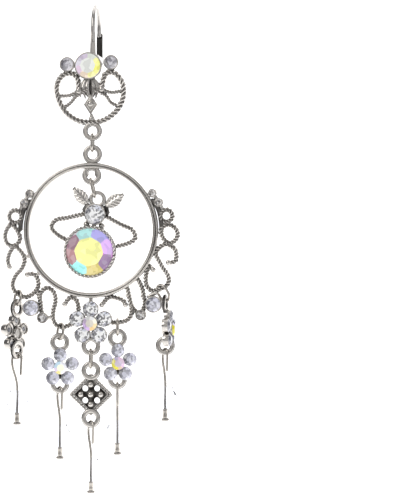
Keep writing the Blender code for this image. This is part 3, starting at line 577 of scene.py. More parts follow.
def finishPiece(name, parts, body, material, replaced=(), angle=40, wearAndShade=True):
    piece = parts[0]
    for part in parts if wearAndShade else []:
        if "wearAndShade" not in part.data.attributes:
            markWear(part)
    if len(parts) > 1:
        selectOnly(*parts)
        bpy.ops.object.join()
        piece = bpy.context.object
    piece.name = piece.data.name = name
    piece.data.materials.clear()
    piece.data.materials.append(material)
    for face in piece.data.polygons:
        face.material_index = 0
    shadeParts(piece, angle)
    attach(piece, body)
    if replaced:
        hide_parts(*replaced)
    print(name, len(piece.data.polygons), "faces")
    return piece


def finishGlass(name, stones, body, material, *replaced):
    return finishPiece(name, stones, body, material, replaced, 1, False)


def titled(name):
    return name.title().replace("_", "")


brilliants = {
    "large": cutBrilliant(8, 0.60, 0.26, 0.75),
    "small": cutBrilliant(8, 0.54, 0.32, 0.8),
    "plain": cutBrilliant(6, 0.52, 0.36, 0.8)}
print("stones cut")

# Camera, light and floor

view = {"target": (21.7 * mm, castPlane, -49.4 * mm), "turn": math.radians(5), "lens": 150.0, "sensor": 36.0,
        "frameHeight": 100.6 * mm, "near": 0.01}
room = {"floor": 2.4, "level": -0.104, "backTo": -0.75, "wall": 1.6, "corner": 0.25, "glow": 0.80,
        "pale": ((0.93, 0.93, 0.93), (0.96, 0.96, 0.96)), "front": (0.28, 0.28, 0.285),
        "ahead": (0.44, 0.44, 0.445), "aside": (0.13, 0.13, 0.135), "box": (0.68, 0.67, 0.655)}


def setCamera():
    bpy.ops.object.camera_add()
    camera = bpy.context.object
    camera.data.lens = view["lens"]
    camera.data.sensor_width = view["sensor"]
    camera.data.clip_start = view["near"]
    distance = view["lens"] / view["sensor"] * view["frameHeight"]
    turn = view["turn"]
    camera.location = Vector(view["target"]) + Vector((math.sin(turn), -math.cos(turn), 0)) * distance
    camera.rotation_euler = (math.pi / 2, 0, turn)
    bpy.context.scene.camera = camera


def setLight(name, place, size, power, colour=(1, 1, 1)):
    bpy.ops.object.light_add(type="AREA", location=place)
    lamp = bpy.context.object
    lamp.name = name
    lamp.data.shape = "RECTANGLE"
    lamp.data.size = size[0]
    lamp.data.size_y = size[1]
    lamp.data.energy = power
    lamp.data.color = colour
    aim = Vector((0, castPlane, -0.05)) - Vector(place)
    lamp.rotation_euler = aim.to_track_quat("-Z", "Y").to_euler()


def chooseEdges(shape, chosen):
    bpy.ops.mesh.select_all(action="DESELECT")
    for edge in shape.edges:
        edge.select = all(chosen(vertex.co) for vertex in edge.verts)


def setFloor():
    # A pale sweep: floor, curved corner and back wall
    bpy.ops.mesh.primitive_plane_add(size=room["floor"], location=up(room["level"]))
    floor = bpy.context.object
    shape = openMesh()
    bpy.ops.mesh.select_mode(type="EDGE")
    chooseEdges(shape, lambda spot: spot.y > 1.0)
    bpy.ops.transform.translate(value=(0, room["backTo"], 0))
    bpy.ops.mesh.extrude_region_move(TRANSFORM_OT_translate={"value": (0, 0, room["wall"])})
    chooseEdges(shape, lambda spot: spot.y > 0.4 and spot.z < 0.01)
    bpy.ops.mesh.bevel(offset=room["corner"], segments=12)
    bpy.ops.mesh.select_mode(type="VERT")
    closeMesh()
    floor.name = "paleFloor"
    material, tree, shader = newMaterial("paleFloor")
    coords = addNode(tree, "ShaderNodeTexCoord").outputs["Object"]
    colour = mixColours(tree, rangeNode(tree, noiseNode(tree, coords, 40.0), *noiseBand), *room["pale"])
    # The part in front of the piece is greyer, so that polished metal keeps some dark in it
    heading = addNode(tree, "ShaderNodeSeparateXYZ")
    tree.links.new(coords, heading.inputs[0])
    behind = rangeNode(tree, heading.outputs["Y"], -0.20, 0.0)
    tree.links.new(mixColours(tree, behind, room["front"], colour), shader.inputs["Base Color"])
    shader.inputs["Roughness"].default_value = 0.9
    shader.inputs["Emission Color"].default_value = (1, 1, 1, 1)
    tree.links.new(mathNode(tree, "MULTIPLY", behind, room["glow"]), shader.inputs["Emission Strength"])
    floor.data.materials.append(material)
    shadeParts(floor, 60)


def setWorld():
    # Bright in front and above, dark on both sides, so that round wires get light middles and thin dark lines
    world = bpy.data.worlds.new("studio")
    bpy.context.scene.world = world
    world.use_nodes = True
    tree = world.node_tree
    heading = addNode(tree, "ShaderNodeSeparateXYZ")
    tree.links.new(addNode(tree, "ShaderNodeTexCoord").outputs["Generated"], heading.inputs[0])
    side = rangeNode(tree, mathNode(tree, "ABSOLUTE", heading.outputs["X"], 0.0), 0.30, 0.72)
    colour = mixColours(tree, side, room["ahead"], room["aside"])
    # A soft box right in front
    colour = mixColours(tree, rangeNode(tree, heading.outputs["Y"], -0.90, -0.985), colour, room["box"])
    tree.links.new(colour, tree.nodes["Background"].inputs["Color"])


setCamera()
setWorld()
setFloor()
setLight("keyLeft", (-0.35, -0.45, 0.30), (0.30, 0.40), 1.0, (1.0, 0.985, 0.96))
setLight("fillRight", (0.45, -0.35, 0.05), (0.15, 0.50), 0.4, (0.95, 0.97, 1.0))
setLight("topSoft", (0.0, 0.05, 0.45), (0.5, 0.4), 0.5)
bpy.context.scene.view_settings.view_transform = "Standard"
print("camera, light and floor set")

# Tints of the stones, partly their own colour and partly painted reflection and shade; crown tints run
# counter-clockwise up to each angle

charts = {
    "pendantLarge": {
        "table": (0.97, 0.97, 0.62), "back": (0.5, 0.4, 0.5), "flicker": 0.05,
        "crown": [(12, (0.88, 0.60, 0.94)), (36, (0.84, 0.66, 0.94)), (70, (0.70, 0.68, 0.93)),
                  (118, (0.74, 0.95, 0.94)), (140, (0.86, 0.84, 0.88)), (178, (0.68, 0.54, 0.60)),
                  (215, (0.72, 0.52, 0.54)), (232, (0.66, 0.94, 0.93)), (262, (0.60, 0.93, 0.91)),
                  (318, (0.82, 0.75, 0.40)), (338, (0.60, 0.48, 0.64)),
                  (360, (0.88, 0.55, 0.90))]},
    "topLarge": {
        "table": (0.89, 0.90, 0.88), "back": (0.7, 0.7, 0.7), "flicker": 0.04,
        "crown": [(30, (0.93, 0.92, 0.50)), (60, (0.90, 0.92, 0.80)), (100, (0.84, 0.86, 0.82)),
                  (150, (0.84, 0.79, 0.87)), (200, (0.93, 0.91, 0.96)), (240, (0.89, 0.80, 0.88)),
                  (275, (0.91, 0.83, 0.74)), (320, (0.93, 0.92, 0.62)), (360, (0.98, 0.97, 0.50))]},
    "flowerCentre": {
        "table": (0.80, 0.78, 0.74), "back": (0.6, 0.6, 0.6), "flicker": 0.08,
        "crown": [(60, (0.92, 0.90, 0.84)), (120, (0.86, 0.86, 0.86)), (180, (0.80, 0.72, 0.84)),
                  (250, (0.78, 0.66, 0.86)), (300, (0.86, 0.72, 0.48)), (360, (0.90, 0.82, 0.62))]},
    "dropLeft": {
        "table": (0.98, 0.97, 0.84), "back": (0.6, 0.6, 0.6), "flicker": 0.05,
        "crown": [(80, (0.93, 0.93, 0.97)), (160, (0.72, 0.84, 0.92)), (220, (0.84, 0.76, 0.90)),
                  (290, (0.93, 0.86, 0.45)), (360, (0.93, 0.90, 0.92))]},
    "dropRight": {
        "table": (0.78, 0.72, 0.80), "back": (0.6, 0.6, 0.6), "flicker": 0.06,
        "crown": [(70, (0.82, 0.72, 0.80)), (130, (0.74, 0.70, 0.80)), (250, (0.86, 0.82, 0.22)),
                  (300, (0.80, 0.70, 0.60)), (360, (0.85, 0.72, 0.84))]},
    "clear": {
        "table": (0.86, 0.88, 0.92), "back": (0.3, 0.3, 0.32), "flicker": 0.30,
        "crown": [(45, (0.93, 0.93, 0.95)), (90, (0.70, 0.71, 0.75)), (135, (0.93, 0.93, 0.95)),
                  (200, (0.72, 0.72, 0.76)), (250, (0.92, 0.92, 0.93)), (300, (0.60, 0.60, 0.64)),
                  (360, (0.90, 0.90, 0.93))]},
    "steel": {
        "table": (0.58, 0.57, 0.60), "back": (0.2, 0.2, 0.22), "flicker": 0.20,
        "crown": [(90, (0.66, 0.65, 0.67)), (180, (0.52, 0.51, 0.53)), (270, (0.55, 0.54, 0.57)),
                  (360, (0.72, 0.71, 0.73))]},
    "pearl": {
        "table": (0.66, 0.64, 0.62), "back": (0.2, 0.2, 0.2), "flicker": 0.25,
        "crown": [(90, (0.80, 0.78, 0.76)), (180, (0.52, 0.50, 0.49)), (270, (0.40, 0.38, 0.37)),
                  (360, (0.70, 0.68, 0.66))]},
    "mist": {
        "table": (0.65, 0.65, 0.69), "back": (0.3, 0.3, 0.33), "flicker": 0.24,
        "crown": [(90, (0.71, 0.71, 0.76)), (180, (0.57, 0.57, 0.61)), (270, (0.61, 0.61, 0.66)),
                  (360, (0.75, 0.75, 0.80))]}}


def setStone(blank, radius, height, chart, matrix):
    # A copy of a cut stone, its girdle at the given height of its cup
    stone = paintFacetTintAndReflection(copied(brilliants[blank]), charts[chart])
    return placed(stone, matrix @ Matrix.Translation((0, 0, height)) @ Matrix.Scale(radius, 4))


def plan(piece, shares):
    # Points given as shares of a piece's size from its centre
    (left, level), size = piece["centre"], piece["size"]
    return [Vector((left + size * x, castPlane, level + size * z)) for x, z in shares]


def planSpot(piece, share):
    return plan(piece, [share])[0]


def cupBack(radius):
    # A wider cup stands back a little further
    return 0.4 * mm + 0.02 * radius


def cupSeat(spot, radius):
    return facing(spot.x, spot.z, cupBack(radius))


def profileMm(*points):
    return [(x * mm, y * mm) for x, y in points]


# Ear wire and lever

earHook = {"bend": 4.62 * mm, "innerRadius": 4.2 * mm, "wire": 0.42 * mm, "rearLeg": 1.3 * mm,
           "plateWidth": 1.26 * mm, "plateDepth": 0.7 * mm, "plateTop": -5.1 * mm, "plateBottom": -12.16 * mm,
           "shoulder": 0.4 * mm, "shoulderWidth": 0.72, "hinge": Vector((0, 5.37 * mm, -10.3 * mm)),
           "cheekGap": 0.68 * mm, "cheekWall": 0.33 * mm, "cheekHalf": 0.55 * mm,
           "pin": [(0, -1.03), (0.2, -1.03), (0.3, -0.98), (0.3, 0.98), (0.2, 1.03), (0, 1.03)]}
leverLeaf = {"width": 1.2 * mm, "wall": 0.35 * mm, "foot": 0.45 * mm, "top": -4.3 * mm, "bow": -0.12 * mm,
             "dish": 0.10 * mm, "ring": [(0.38, -0.6), (0.66, -0.6), (0.73, -0.5), (0.73, 0.5), (0.66, 0.6),
                                         (0.38, 0.6), (0.38, -0.6)]}


def shapedBlock(low, high, edge):
    size = Vector(high) - Vector(low)
    bpy.ops.mesh.primitive_cube_add(size=1)
    block = bpy.context.object
    placed(block, Matrix.Translation((Vector(high) + Vector(low)) / 2) @ Matrix.Diagonal((*size, 1)))
    return beveled(block, edge, 3)


def onHinge(profile, sides):
    turned = turnedPiece(profileMm(*profile), sides)
    return placed(turned, Matrix.Translation(earHook["hinge"]) @ spun(math.pi / 2, "Y"))


def buildEarHook():
    bend, crown, top = earHook["bend"], earHook["innerRadius"], earHook["plateTop"]
    path = [Vector((0, -bend, -7.5 * mm)), Vector((0, -bend, -5.6 * mm))]
    for index in range(25):
        turn = math.pi * index / 24
        path.append(Vector((0, -bend * math.cos(turn), bend * math.sin(turn) - crown)))
    path.append(Vector((0, bend, -crown - earHook["rearLeg"])))
    parts = [wireAlong(path, earHook["wire"], smooth=False, step=0.25 * mm, sides=6)]
    half, darkGlints = earHook["plateWidth"] / 2, earHook["plateDepth"] / 2
    plate = shapedBlock((-half, -bend - darkGlints, earHook["plateBottom"]), (half, -bend + darkGlints, top), 0.12 * mm)
    for vertex in plate.data.vertices:
        if vertex.co.z > top - earHook["shoulder"]:
            vertex.co.x *= earHook["shoulderWidth"]
    # Painted shade: the plate's two side edges are marked dark
    edges = [0.1 if abs(vertex.co.x) > half * 0.9 else 1.0 for vertex in plate.data.vertices]
    parts.append(setWearAndShade(plate, edges))
    hinge, cheek = earHook["hinge"], earHook["cheekHalf"]
    low, high = hinge.z - cheek, hinge.z + cheek
    outer = earHook["cheekGap"] + earHook["cheekWall"]
    parts.append(shapedBlock((-outer, -bend, low), (outer, hinge.y - 0.81 * mm, high), 0.12 * mm))
    for side in (-1, 1):
        near, far = sorted((side * earHook["cheekGap"], side * outer))
        parts.append(shapedBlock((near, hinge.y - 1.16 * mm, low), (far, hinge.y + cheek, high), 0.1 * mm))
    parts.append(onHinge(earHook["pin"], 20))
    finishPiece("earHookWire", parts, "top", hookSilver, ["ear_hook"])


def buildLever():
    hinge = earHook["hinge"]
    bpy.ops.mesh.primitive_grid_add(x_subdivisions=8, y_subdivisions=24, size=1)
    lever = bpy.context.object
    low, high = hinge.z + leverLeaf["foot"], leverLeaf["top"]
    for vertex in lever.data.vertices:
        along, across = vertex.co.y + 0.5, vertex.co.x * 2
        rounded = math.sqrt(max(1 - max(along - 0.90, 0) ** 2 / 0.01, 0.0))
        bow = leverLeaf["bow"] * math.sin(math.pi * along)
        dish = leverLeaf["dish"] * (across * rounded) ** 2
        vertex.co = (across * leverLeaf["width"] / 2 * max(rounded, 0.05), hinge.y + bow - dish,
                     low + (high - low) * along)
    shaped(lever, "SOLIDIFY", thickness=leverLeaf["wall"], offset=0)
    beveled(lever, 0.06 * mm)
    finishPiece("leverLeaf", [lever, onHinge(leverLeaf["ring"], 28)], "lever", leverShadeSilver, ["lever"])


buildEarHook()
buildLever()

# Top ornament

topHeart = {
    "centre": (-0.395 * mm, -16.714 * mm), "size": 6.9 * mm, "rope": 0.66 * mm, "lay": 2.6 * mm,
    "bar": 0.45 * mm, "barLay": 1.7 * mm, "eye": (0.019 * mm, -25.231 * mm),
    "heart": [
        (-0.345, -0.055), (-0.36, 0.18), (-0.42, 0.37), (-0.61, 0.46), (-0.82, 0.39), (-0.97, 0.19),
        (-0.99, -0.06), (-0.91, -0.37), (-0.71, -0.69), (-0.37, -0.92), (0.06, -0.98), (0.41, -0.91),
        (0.73, -0.68), (0.92, -0.37), (0.97, -0.04), (0.90, 0.25), (0.66, 0.48), (0.45, 0.43),
        (0.37, 0.24), (0.33, -0.01)],
    "bars": [
        [(-0.345, -0.055), (-0.62, -0.19), (-0.95, -0.20)],
        [(0.33, -0.01), (0.62, -0.11), (0.96, -0.05)],
        [(-0.05, 0.0), (-0.40, -0.20), (-0.60, -0.42), (-0.81, -0.57)],
        [(0.05, 0.0), (0.42, -0.17), (0.60, -0.40), (0.81, -0.50)]],
    "leaf": 0.40 * mm,
    "leaves": [
        ([(-0.03, 0.36), (-0.10, 0.04), (-0.02, -0.26)], (0.5, 1.2, 0.35)),
        ([(0.01, 0.36), (0.09, 0.04), (0.03, -0.26)], (0.5, 1.2, 0.35)),
        ([(-0.10, 0.34), (-0.22, 0.03), (-0.14, -0.30)], (0.5, 1.1, 0.3)),
        ([(0.07, 0.34), (0.20, 0.03), (0.15, -0.30)], (0.5, 1.1, 0.3)),
        ([(-0.18, 0.28), (-0.32, 0.0), (-0.29, -0.26)], (0.5, 1.0, 0.3)),
        ([(0.13, 0.28), (0.29, 0.0), (0.31, -0.22)], (0.5, 1.0, 0.3))],
    "backing": [(-0.03, 0.36), (-0.02, 0.02), (0.0, -0.30)],
    "balls": [((0.035, -0.79), 0.42), ((0.04, -0.87), 0.62), ((-0.345, -0.055), 0.68), ((0.33, -0.01), 0.68)],
    "necks": [[(-0.68, 0.62), (-0.61, 0.46)], [(0.61, 0.66), (0.66, 0.48)]],
    "stones": [
        ("centre", (-0.05, 0.66), 2.75, 0.28, 1.7, "topLarge", "large"),
        ("left", (-0.68, 0.71), 1.5, 0.22, 1.2, "steel", "small"),
        ("right", (0.61, 0.76), 1.5, 0.22, 1.2, "steel", "small")]}


def narrowLeaf(points, width, swell, flat=0.7):
    # A swelling strand with a ridge along its middle
    leaf = wireAlong(points, width, swell=swell, step=0.12 * mm, sides=4)
    for vertex in leaf.data.vertices:
        away = vertex.co.y - castPlane
        vertex.co.y = castPlane + away * flat
    return leaf


def rhombus(centre, halfWide, halfHigh, depth):
    # The pointed shield under the leaves: a four-sided block, inset and pushed in round its ball
    bpy.ops.mesh.primitive_cylinder_add(vertices=4, radius=1, depth=1)
    bpy.ops.object.transform_apply()
    shield = insetFaces(bpy.context.object, isFront, 0.22, 0.12, 0.85)
    placed(shield, facing(*centre) @ Matrix.Diagonal((halfWide, halfHigh, depth, 1)))
    return beveled(shield, 0.06 * mm)


def buildTopHeart():
    size, bar, barLay = topHeart["size"], topHeart["bar"], topHeart["barLay"]
    parts = [ropeAlong(plan(topHeart, topHeart["heart"]), topHeart["rope"], topHeart["lay"])]
    parts += [ropeAlong(plan(topHeart, route), bar, barLay) for route in topHeart["bars"]]
    for route, swell in topHeart["leaves"]:
        parts.append(narrowLeaf(plan(topHeart, route), topHeart["leaf"], swell))
    # Painted shade: a dark sheet behind the leaves
    backing = narrowLeaf(plan(topHeart, topHeart["backing"]), 1.5 * mm, (0.9, 1.15, 0.4), 0.2)
    parts.append(paintedDark(placed(backing, Matrix.Translation((0, 0.7 * mm, 0)))))
    shield = planSpot(topHeart, (0.01, -0.46))
    parts.append(rhombus((shield.x, shield.z), 0.20 * size, 0.30 * size, 1.0 * mm))
    dome = shield + Vector((0, -0.45 * mm, 0.15 * mm))
    parts.append(castBall(0.64 * mm, dome, 0.8))
    # Painted shade: a dark arc over the dome
    arc = [dome + Vector((0.95 * mm * math.cos(turn), 0.1 * mm, 0.95 * mm * math.sin(turn)))
           for turn in (0.35, 0.9, 1.57, 2.24, 2.79)]
    parts.append(paintedDark(wireAlong(arc, 0.17 * mm)))
    parts += [castBall(radius * mm, planSpot(topHeart, share), 0.85) for share, radius in topHeart["balls"]]
    parts += [ropeAlong(plan(topHeart, route), bar, barLay) for route in topHeart["necks"]]
    for name, share, radius, wall, depth, chart, blank in topHeart["stones"]:
        seat = cupSeat(planSpot(topHeart, share), radius * mm)
        parts.append(placed(stoneCup(radius * mm, wall * mm, depth * mm), seat))
        stone = setStone(blank, (radius - wall) * mm, (depth - 0.05) * mm, chart, seat)
        material = bigStoneGlass if blank == "large" else smallStoneGlass
        finishGlass("stoneTop" + titled(name), [stone], "top", material, "stone_top_" + name)
    parts.append(castEye(facing(*topHeart["eye"])))
    finishPiece("topHeartCasting", parts, "top", castSilver, ["top_ornament"])


buildTopHeart()

# Jump links

links = {"wire": 0.28 * mm, "inner": 1.9 * mm, "gap": 0.10 * mm, "upper": 2.9 * mm, "lower": 3.3 * mm}


def jumpLink(bar, halfBar, length, lean=0.0, spin=0.0):
    # A stadium of round wire over the bar that carries it
    half = links["inner"] / 2 + links["wire"]
    top = halfBar + links["gap"] + links["wire"]
    bottom = top - length - 2 * links["wire"]
    points = []
    for level, start in ((top - half, 0.0), (bottom + half, math.pi)):
        for index in range(17):
            turn = start + math.pi * index / 16
            points.append(Vector((0, half * math.cos(turn), level + half * math.sin(turn))))
    link = wireAlong(points, links["wire"], closed=True, smooth=False, step=0.16 * mm, sides=4)
    return placed(link, Matrix.Translation(bar) @ spun(lean, "Y") @ spun(spin, "Z"))


def hungBar(bar, halfBar, length, lowerHalf, lean):
    reach = length - halfBar - lowerHalf - 2 * links["gap"]
    return bar + Vector((-math.sin(lean), 0, -math.cos(lean))) * reach


def eyeDrop(bar=None):
    return eyes["hole"] + (bar or eyes["bar"]) / 2


def lowBar(centre):
    return Vector((centre[0], castPlane, centre[1] - eyeDrop()))


innerEye = (-0.141 * mm, -34.111 * mm)
innerLean = math.radians(-13)
upperLink = jumpLink(lowBar(topHeart["eye"]), eyes["bar"] / 2, links["upper"])
finishPiece("upperJumpLink", [upperLink], "upper_link", wireSilver, ["upper_link"])
innerLink = jumpLink(lowBar(innerEye), eyes["bar"] / 2, links["lower"], innerLean)
finishPiece("innerJumpLink", [innerLink], "inner_link", wireSilver, ["inner_link"])

# Hoop with its scrolls, stones and bottom flower

hoop = {
    "centre": (-0.301 * mm, -45.156 * mm), "size": 13.62 * mm, "rimWidth": 1.12 * mm, "rimDepth": 1.5 * mm,
    "groove": 0.28 * mm, "rope": 0.57 * mm, "lay": 1.95 * mm,
    "eyes": [(0.019 * mm, -29.891 * mm), innerEye, (-0.301 * mm, -68.411 * mm)],
    "rings": [((-1.128, 0.207), 0.092), ((1.12, 0.215), 0.088)],
    "loops": [
        [(-1.185, 0.09), (-1.112, 0.015), (-1.06, -0.095), (-1.085, -0.184), (-1.175, -0.225),
         (-1.254, -0.184), (-1.282, -0.081), (-1.251, 0.029)],
        [(1.142, 0.085), (1.245, 0.037), (1.286, -0.051), (1.253, -0.14), (1.172, -0.19),
         (1.084, -0.132), (1.044, -0.038), (1.062, 0.044)]],
    "ropes": [
        [(-1.141, -0.222), (-1.21, -0.323), (-1.241, -0.441), (-1.214, -0.543)],
        [(-1.141, -0.222), (-1.04, -0.316), (-0.99, -0.43), (-1.03, -0.558), (-1.12, -0.661),
         (-1.17, -0.786), (-1.145, -0.885), (-1.08, -0.945), (-0.97, -0.982), (-0.86, -0.932),
         (-0.785, -0.822), (-0.80, -0.705), (-0.86, -0.645), (-0.95, -0.655)],
        [(-0.81, -0.87), (-0.77, -0.97), (-0.75, -1.07), (-0.737, -1.19), (-0.717, -1.29)],
        [(-0.755, -1.04), (-0.755, -0.94), (-0.67, -0.85), (-0.58, -0.885), (-0.532, -0.97),
         (-0.532, -1.075), (-0.558, -1.175), (-0.565, -1.29), (-0.53, -1.38), (-0.446, -1.43),
         (-0.34, -1.405), (-0.20, -1.34)],
        [(1.131, -0.205), (1.232, -0.263), (1.266, -0.348), (1.248, -0.457), (1.147, -0.474)],
        [(1.142, -0.19), (1.035, -0.238), (0.962, -0.34), (1.02, -0.465), (1.07, -0.558),
         (1.131, -0.64), (1.156, -0.73), (1.12, -0.815), (1.035, -0.86), (0.915, -0.887),
         (0.84, -0.83), (0.815, -0.74), (0.825, -0.62), (0.865, -0.535), (0.925, -0.58)],
        [(0.53, -0.815), (0.565, -0.954), (0.59, -1.065), (0.633, -1.157), (0.743, -1.245)],
        [(0.69, -0.70), (0.76, -0.855), (0.784, -0.972), (0.80, -1.081), (0.743, -1.245)],
        [(0.592, -1.072), (0.602, -1.22), (0.54, -1.32), (0.394, -1.36), (0.29, -1.345), (0.2, -1.30)]],
    "strands": [
        [(-0.91, 0.545), (-0.985, 0.44), (-1.06, 0.29)],
        [(-0.99, -0.40), (-0.90, -0.37)],
        [(-0.81, -0.68), (-0.76, -0.61)],
        [(-0.717, -1.29), (-0.56, -1.28)],
        [(0.915, 0.545), (1.0, 0.43), (1.07, 0.29)],
        [(0.83, -0.99), (0.92, -0.94), (1.01, -0.90)],
        [(-0.39, -1.09), (-0.31, -0.99), (-0.21, -1.04), (-0.18, -1.20)],
        [(0.165, -1.095), (0.265, -0.985), (0.37, -0.995), (0.48, -1.035), (0.51, -1.095)],
        [(0.0, -0.96), (0.0, -1.20)],
        [(-0.91, 0.545), (-0.82, 0.49)],
        [(0.915, 0.545), (0.82, 0.49)],
        [(-0.887, -1.145), (-0.75, -1.09)],
        [(0.932, -1.09), (0.80, -1.081)],
        [(-0.24, -0.93), (-0.255, -1.02)]],
    "fillers": [
        [(-0.90, 0.46), (-1.0, 0.30), (-1.045, 0.12), (-1.05, -0.02)],
        [(0.90, 0.47), (1.0, 0.31), (1.04, 0.13), (1.05, -0.02)]],
    "bails": [
        [(-0.055, 0.79), (-0.062, 0.86), (-0.062, 0.95)],
        [(0.078, 0.79), (0.085, 0.86), (0.085, 0.95)]],
    "thorns": [[(0.57, -0.985), (0.50, -0.95)], [(0.78, -0.965), (0.725, -0.985)]],
    "beads": [(-1.214, -0.543), (-0.95, -0.655), (1.147, -0.474), (0.925, -0.58),
              (-0.39, -1.09), (0.165, -1.095), (0.51, -1.095)],
    "stones": [
        ("hoop_left", (-0.887, -1.145), 1.7, 0.24, 1.4, "mist", "small"),
        ("hoop_right", (0.932, -1.09), 1.7, 0.24, 1.4, "mist", "small"),
        ("prong_left_high", (-0.91, 0.545), 0.88, 0.2, 1.1, "pearl", "plain"),
        ("prong_left_low", (-0.99, 0.40), 0.88, 0.2, 1.1, "pearl", "plain"),
        ("prong_right_high", (0.915, 0.545), 0.88, 0.2, 1.1, "pearl", "plain"),
        ("prong_right_low", (1.01, 0.41), 0.88, 0.2, 1.1, "pearl", "plain")],
    "beadCups": [("bead_cup_left", (-0.717, -1.29)), ("bead_cup_right", (0.743, -1.245))],
    "flower": (0.0, -1.37), "flowerRadius": 1.52, "petalRadius": 1.62, "petalReach": 2.88}


def ridgedRim(radius, width, depth, groove):
    # Two polished ridges with a black groove between, spun round the hoop's axis
    inner, middle, front = radius - width, radius - width / 2, depth / 2
    back, soft, shallow = 0.2 * mm, 0.28 * mm, 0.10 * mm
    ridge, lip, fall = 0.22 * mm, 0.18 * mm, 0.08 * mm
    profile = [(inner, back - front), (inner + back, -front), (radius - back, -front), (radius, back - front),
               (radius, front - soft), (radius - shallow, front - shallow), (radius - ridge, front),
               (middle + lip, front), (middle + fall, front - fall), (middle, front - groove),
               (middle - fall, front - fall), (middle - lip, front), (inner + ridge, front),
               (inner + shallow, front - shallow), (inner, front - soft), (inner, back - front)]
    return turnedPiece(profile, 144)


def prongBeads(place, radius, count, size, start, height):
    # Tiny grains that hold a stone
    return [castBall(size, place @ spoke(turn, radius, height)) for turn in circle(count, start)]


def petalSpots(reach):
    return [(reach * math.cos(turn), reach * math.sin(turn)) for turn in circle(5, math.pi / 2)]


def buildHoop():
    size, rope, lay = hoop["size"], hoop["rope"], hoop["lay"]
    rim = ridgedRim(size, hoop["rimWidth"], hoop["rimDepth"], hoop["groove"])
    parts = [placed(rim, facing(*hoop["centre"]))]
    parts += [castEye(facing(*eye)) for eye in hoop["eyes"]]
    for share, radius in hoop["rings"]:
        middle = planSpot(hoop, share)
        ring = [middle + Vector((spot.x, 0, spot.y)) for spot in ringPoints(size * radius)]
        parts.append(ropeAlong(ring, rope, lay, closed=True, smooth=False))
    parts += [ropeAlong(plan(hoop, route), rope, lay, closed=True) for route in hoop["loops"]]
    for route in hoop["ropes"] + hoop["strands"]:
        path = plan(hoop, route)
        parts.append(ropeAlong(path, rope, lay) if len(route) > 3 else wireAlong(path, rope * 0.72))
    parts += [paintedDark(wireAlong(plan(hoop, route), 0.48 * mm), 0.12) for route in hoop["fillers"]]
    parts += [wireAlong(plan(hoop, route), 0.42 * mm) for route in hoop["bails"]]
    for route in hoop["thorns"]:
        parts.append(wireAlong(plan(hoop, route), rope * 0.8, smooth=False, swell=(0.9, 0.2)))
    parts += [castBall(rope, planSpot(hoop, share)) for share in hoop["beads"]]
    for name, share, radius, wall, depth, chart, blank in hoop["stones"]:
        seat = cupSeat(planSpot(hoop, share), radius * mm)
        parts.append(placed(stoneCup(radius * mm, wall * mm, depth * mm, 28), seat))
        if blank == "plain":
            parts += prongBeads(seat, radius * 0.86 * mm, 4, 0.24 * mm, 0.5, depth * mm)
        stone = setStone(blank, (radius - wall) * mm, (depth - 0.05) * mm, chart, seat)
        material = sparkGlass if blank == "plain" else smallStoneGlass
        finishGlass("stone" + titled(name), [stone], "hoop", material, "stone_" + name)
    for name, share in hoop["beadCups"]:
        seat = cupSeat(planSpot(hoop, share), 1.12 * mm)
        parts.append(placed(stoneCup(1.12 * mm, 0.22 * mm, 1.1 * mm, 28), seat))
        milled = ropeAlong(ringPoints(1.0 * mm, height=1.1 * mm), 0.16 * mm, 0.6 * mm, True, 2, False)
        parts.append(placed(milled, seat))
        stone = setStone("plain", 0.82 * mm, 1.05 * mm, "pearl", seat)
        finishGlass("stone" + titled(name), [stone], "hoop", sparkGlass, name)
    flower, radius, petal = planSpot(hoop, hoop["flower"]), hoop["flowerRadius"], hoop["petalRadius"]
    seat = cupSeat(flower, radius * mm)
    parts.append(placed(stoneCup(radius * mm, 0.14 * mm, 2.0 * mm, 28), seat))
    stone = setStone("small", (radius - 0.06) * mm, 2.0 * mm, "flowerCentre", seat)
    finishGlass("stoneFlowerCentre", [stone], "hoop", bigStoneGlass, "stone_flower_centre")
    for number, (x, z) in enumerate(petalSpots(hoop["petalReach"] * mm), 1):
        seat = facing(flower.x + x, flower.z + z, cupBack(petal * mm))
        parts.append(placed(stoneCup(petal * mm, 0.16 * mm, 1.1 * mm, 32), seat))
        parts += prongBeads(seat, petal * 0.94 * mm, 5, 0.20 * mm, math.pi / 2 + number * 1.2566, 1.3 * mm)
        stone = setStone("small", (petal - 0.10) * mm, 1.15 * mm, "clear", seat)
        finishGlass("stonePetal%d" % number, [stone], "hoop", sparkGlass, "stone_petal_%d" % number)
    finishPiece("hoopCasting", parts, "hoop", castSilver, ["hoop"])


buildHoop()

# Inner pendant

pendant = {
    "lean": math.radians(7.5), "grip": math.radians(37), "eyeBar": 0.75 * mm, "cup": 2.15, "bezel": 5.22,
    "lap": 0.45, "gap": 0.2, "rope": 0.57 * mm, "lay": 2.1 * mm, "ball": 0.66 * mm,
    "loop": [
        (0.371, 1.45), (1.05, 1.19), (1.45, 1.07), (1.63, 0.85), (1.59, 0.66), (1.30, 0.46), (0.93, 0.33)],
    "bundle": [(0.20, -0.27), (0.36, -0.33), (0.47, -0.58)],
    "leafEnds": [(0.34, -0.24), (0.98, 0.325)], "leafWidth": 1.12 * mm, "leafWall": 0.55 * mm,
    "milling": [(0.24, 2.05, 0.40, 1.7), (0.1, 1.2, 0.22, 0.9)]}


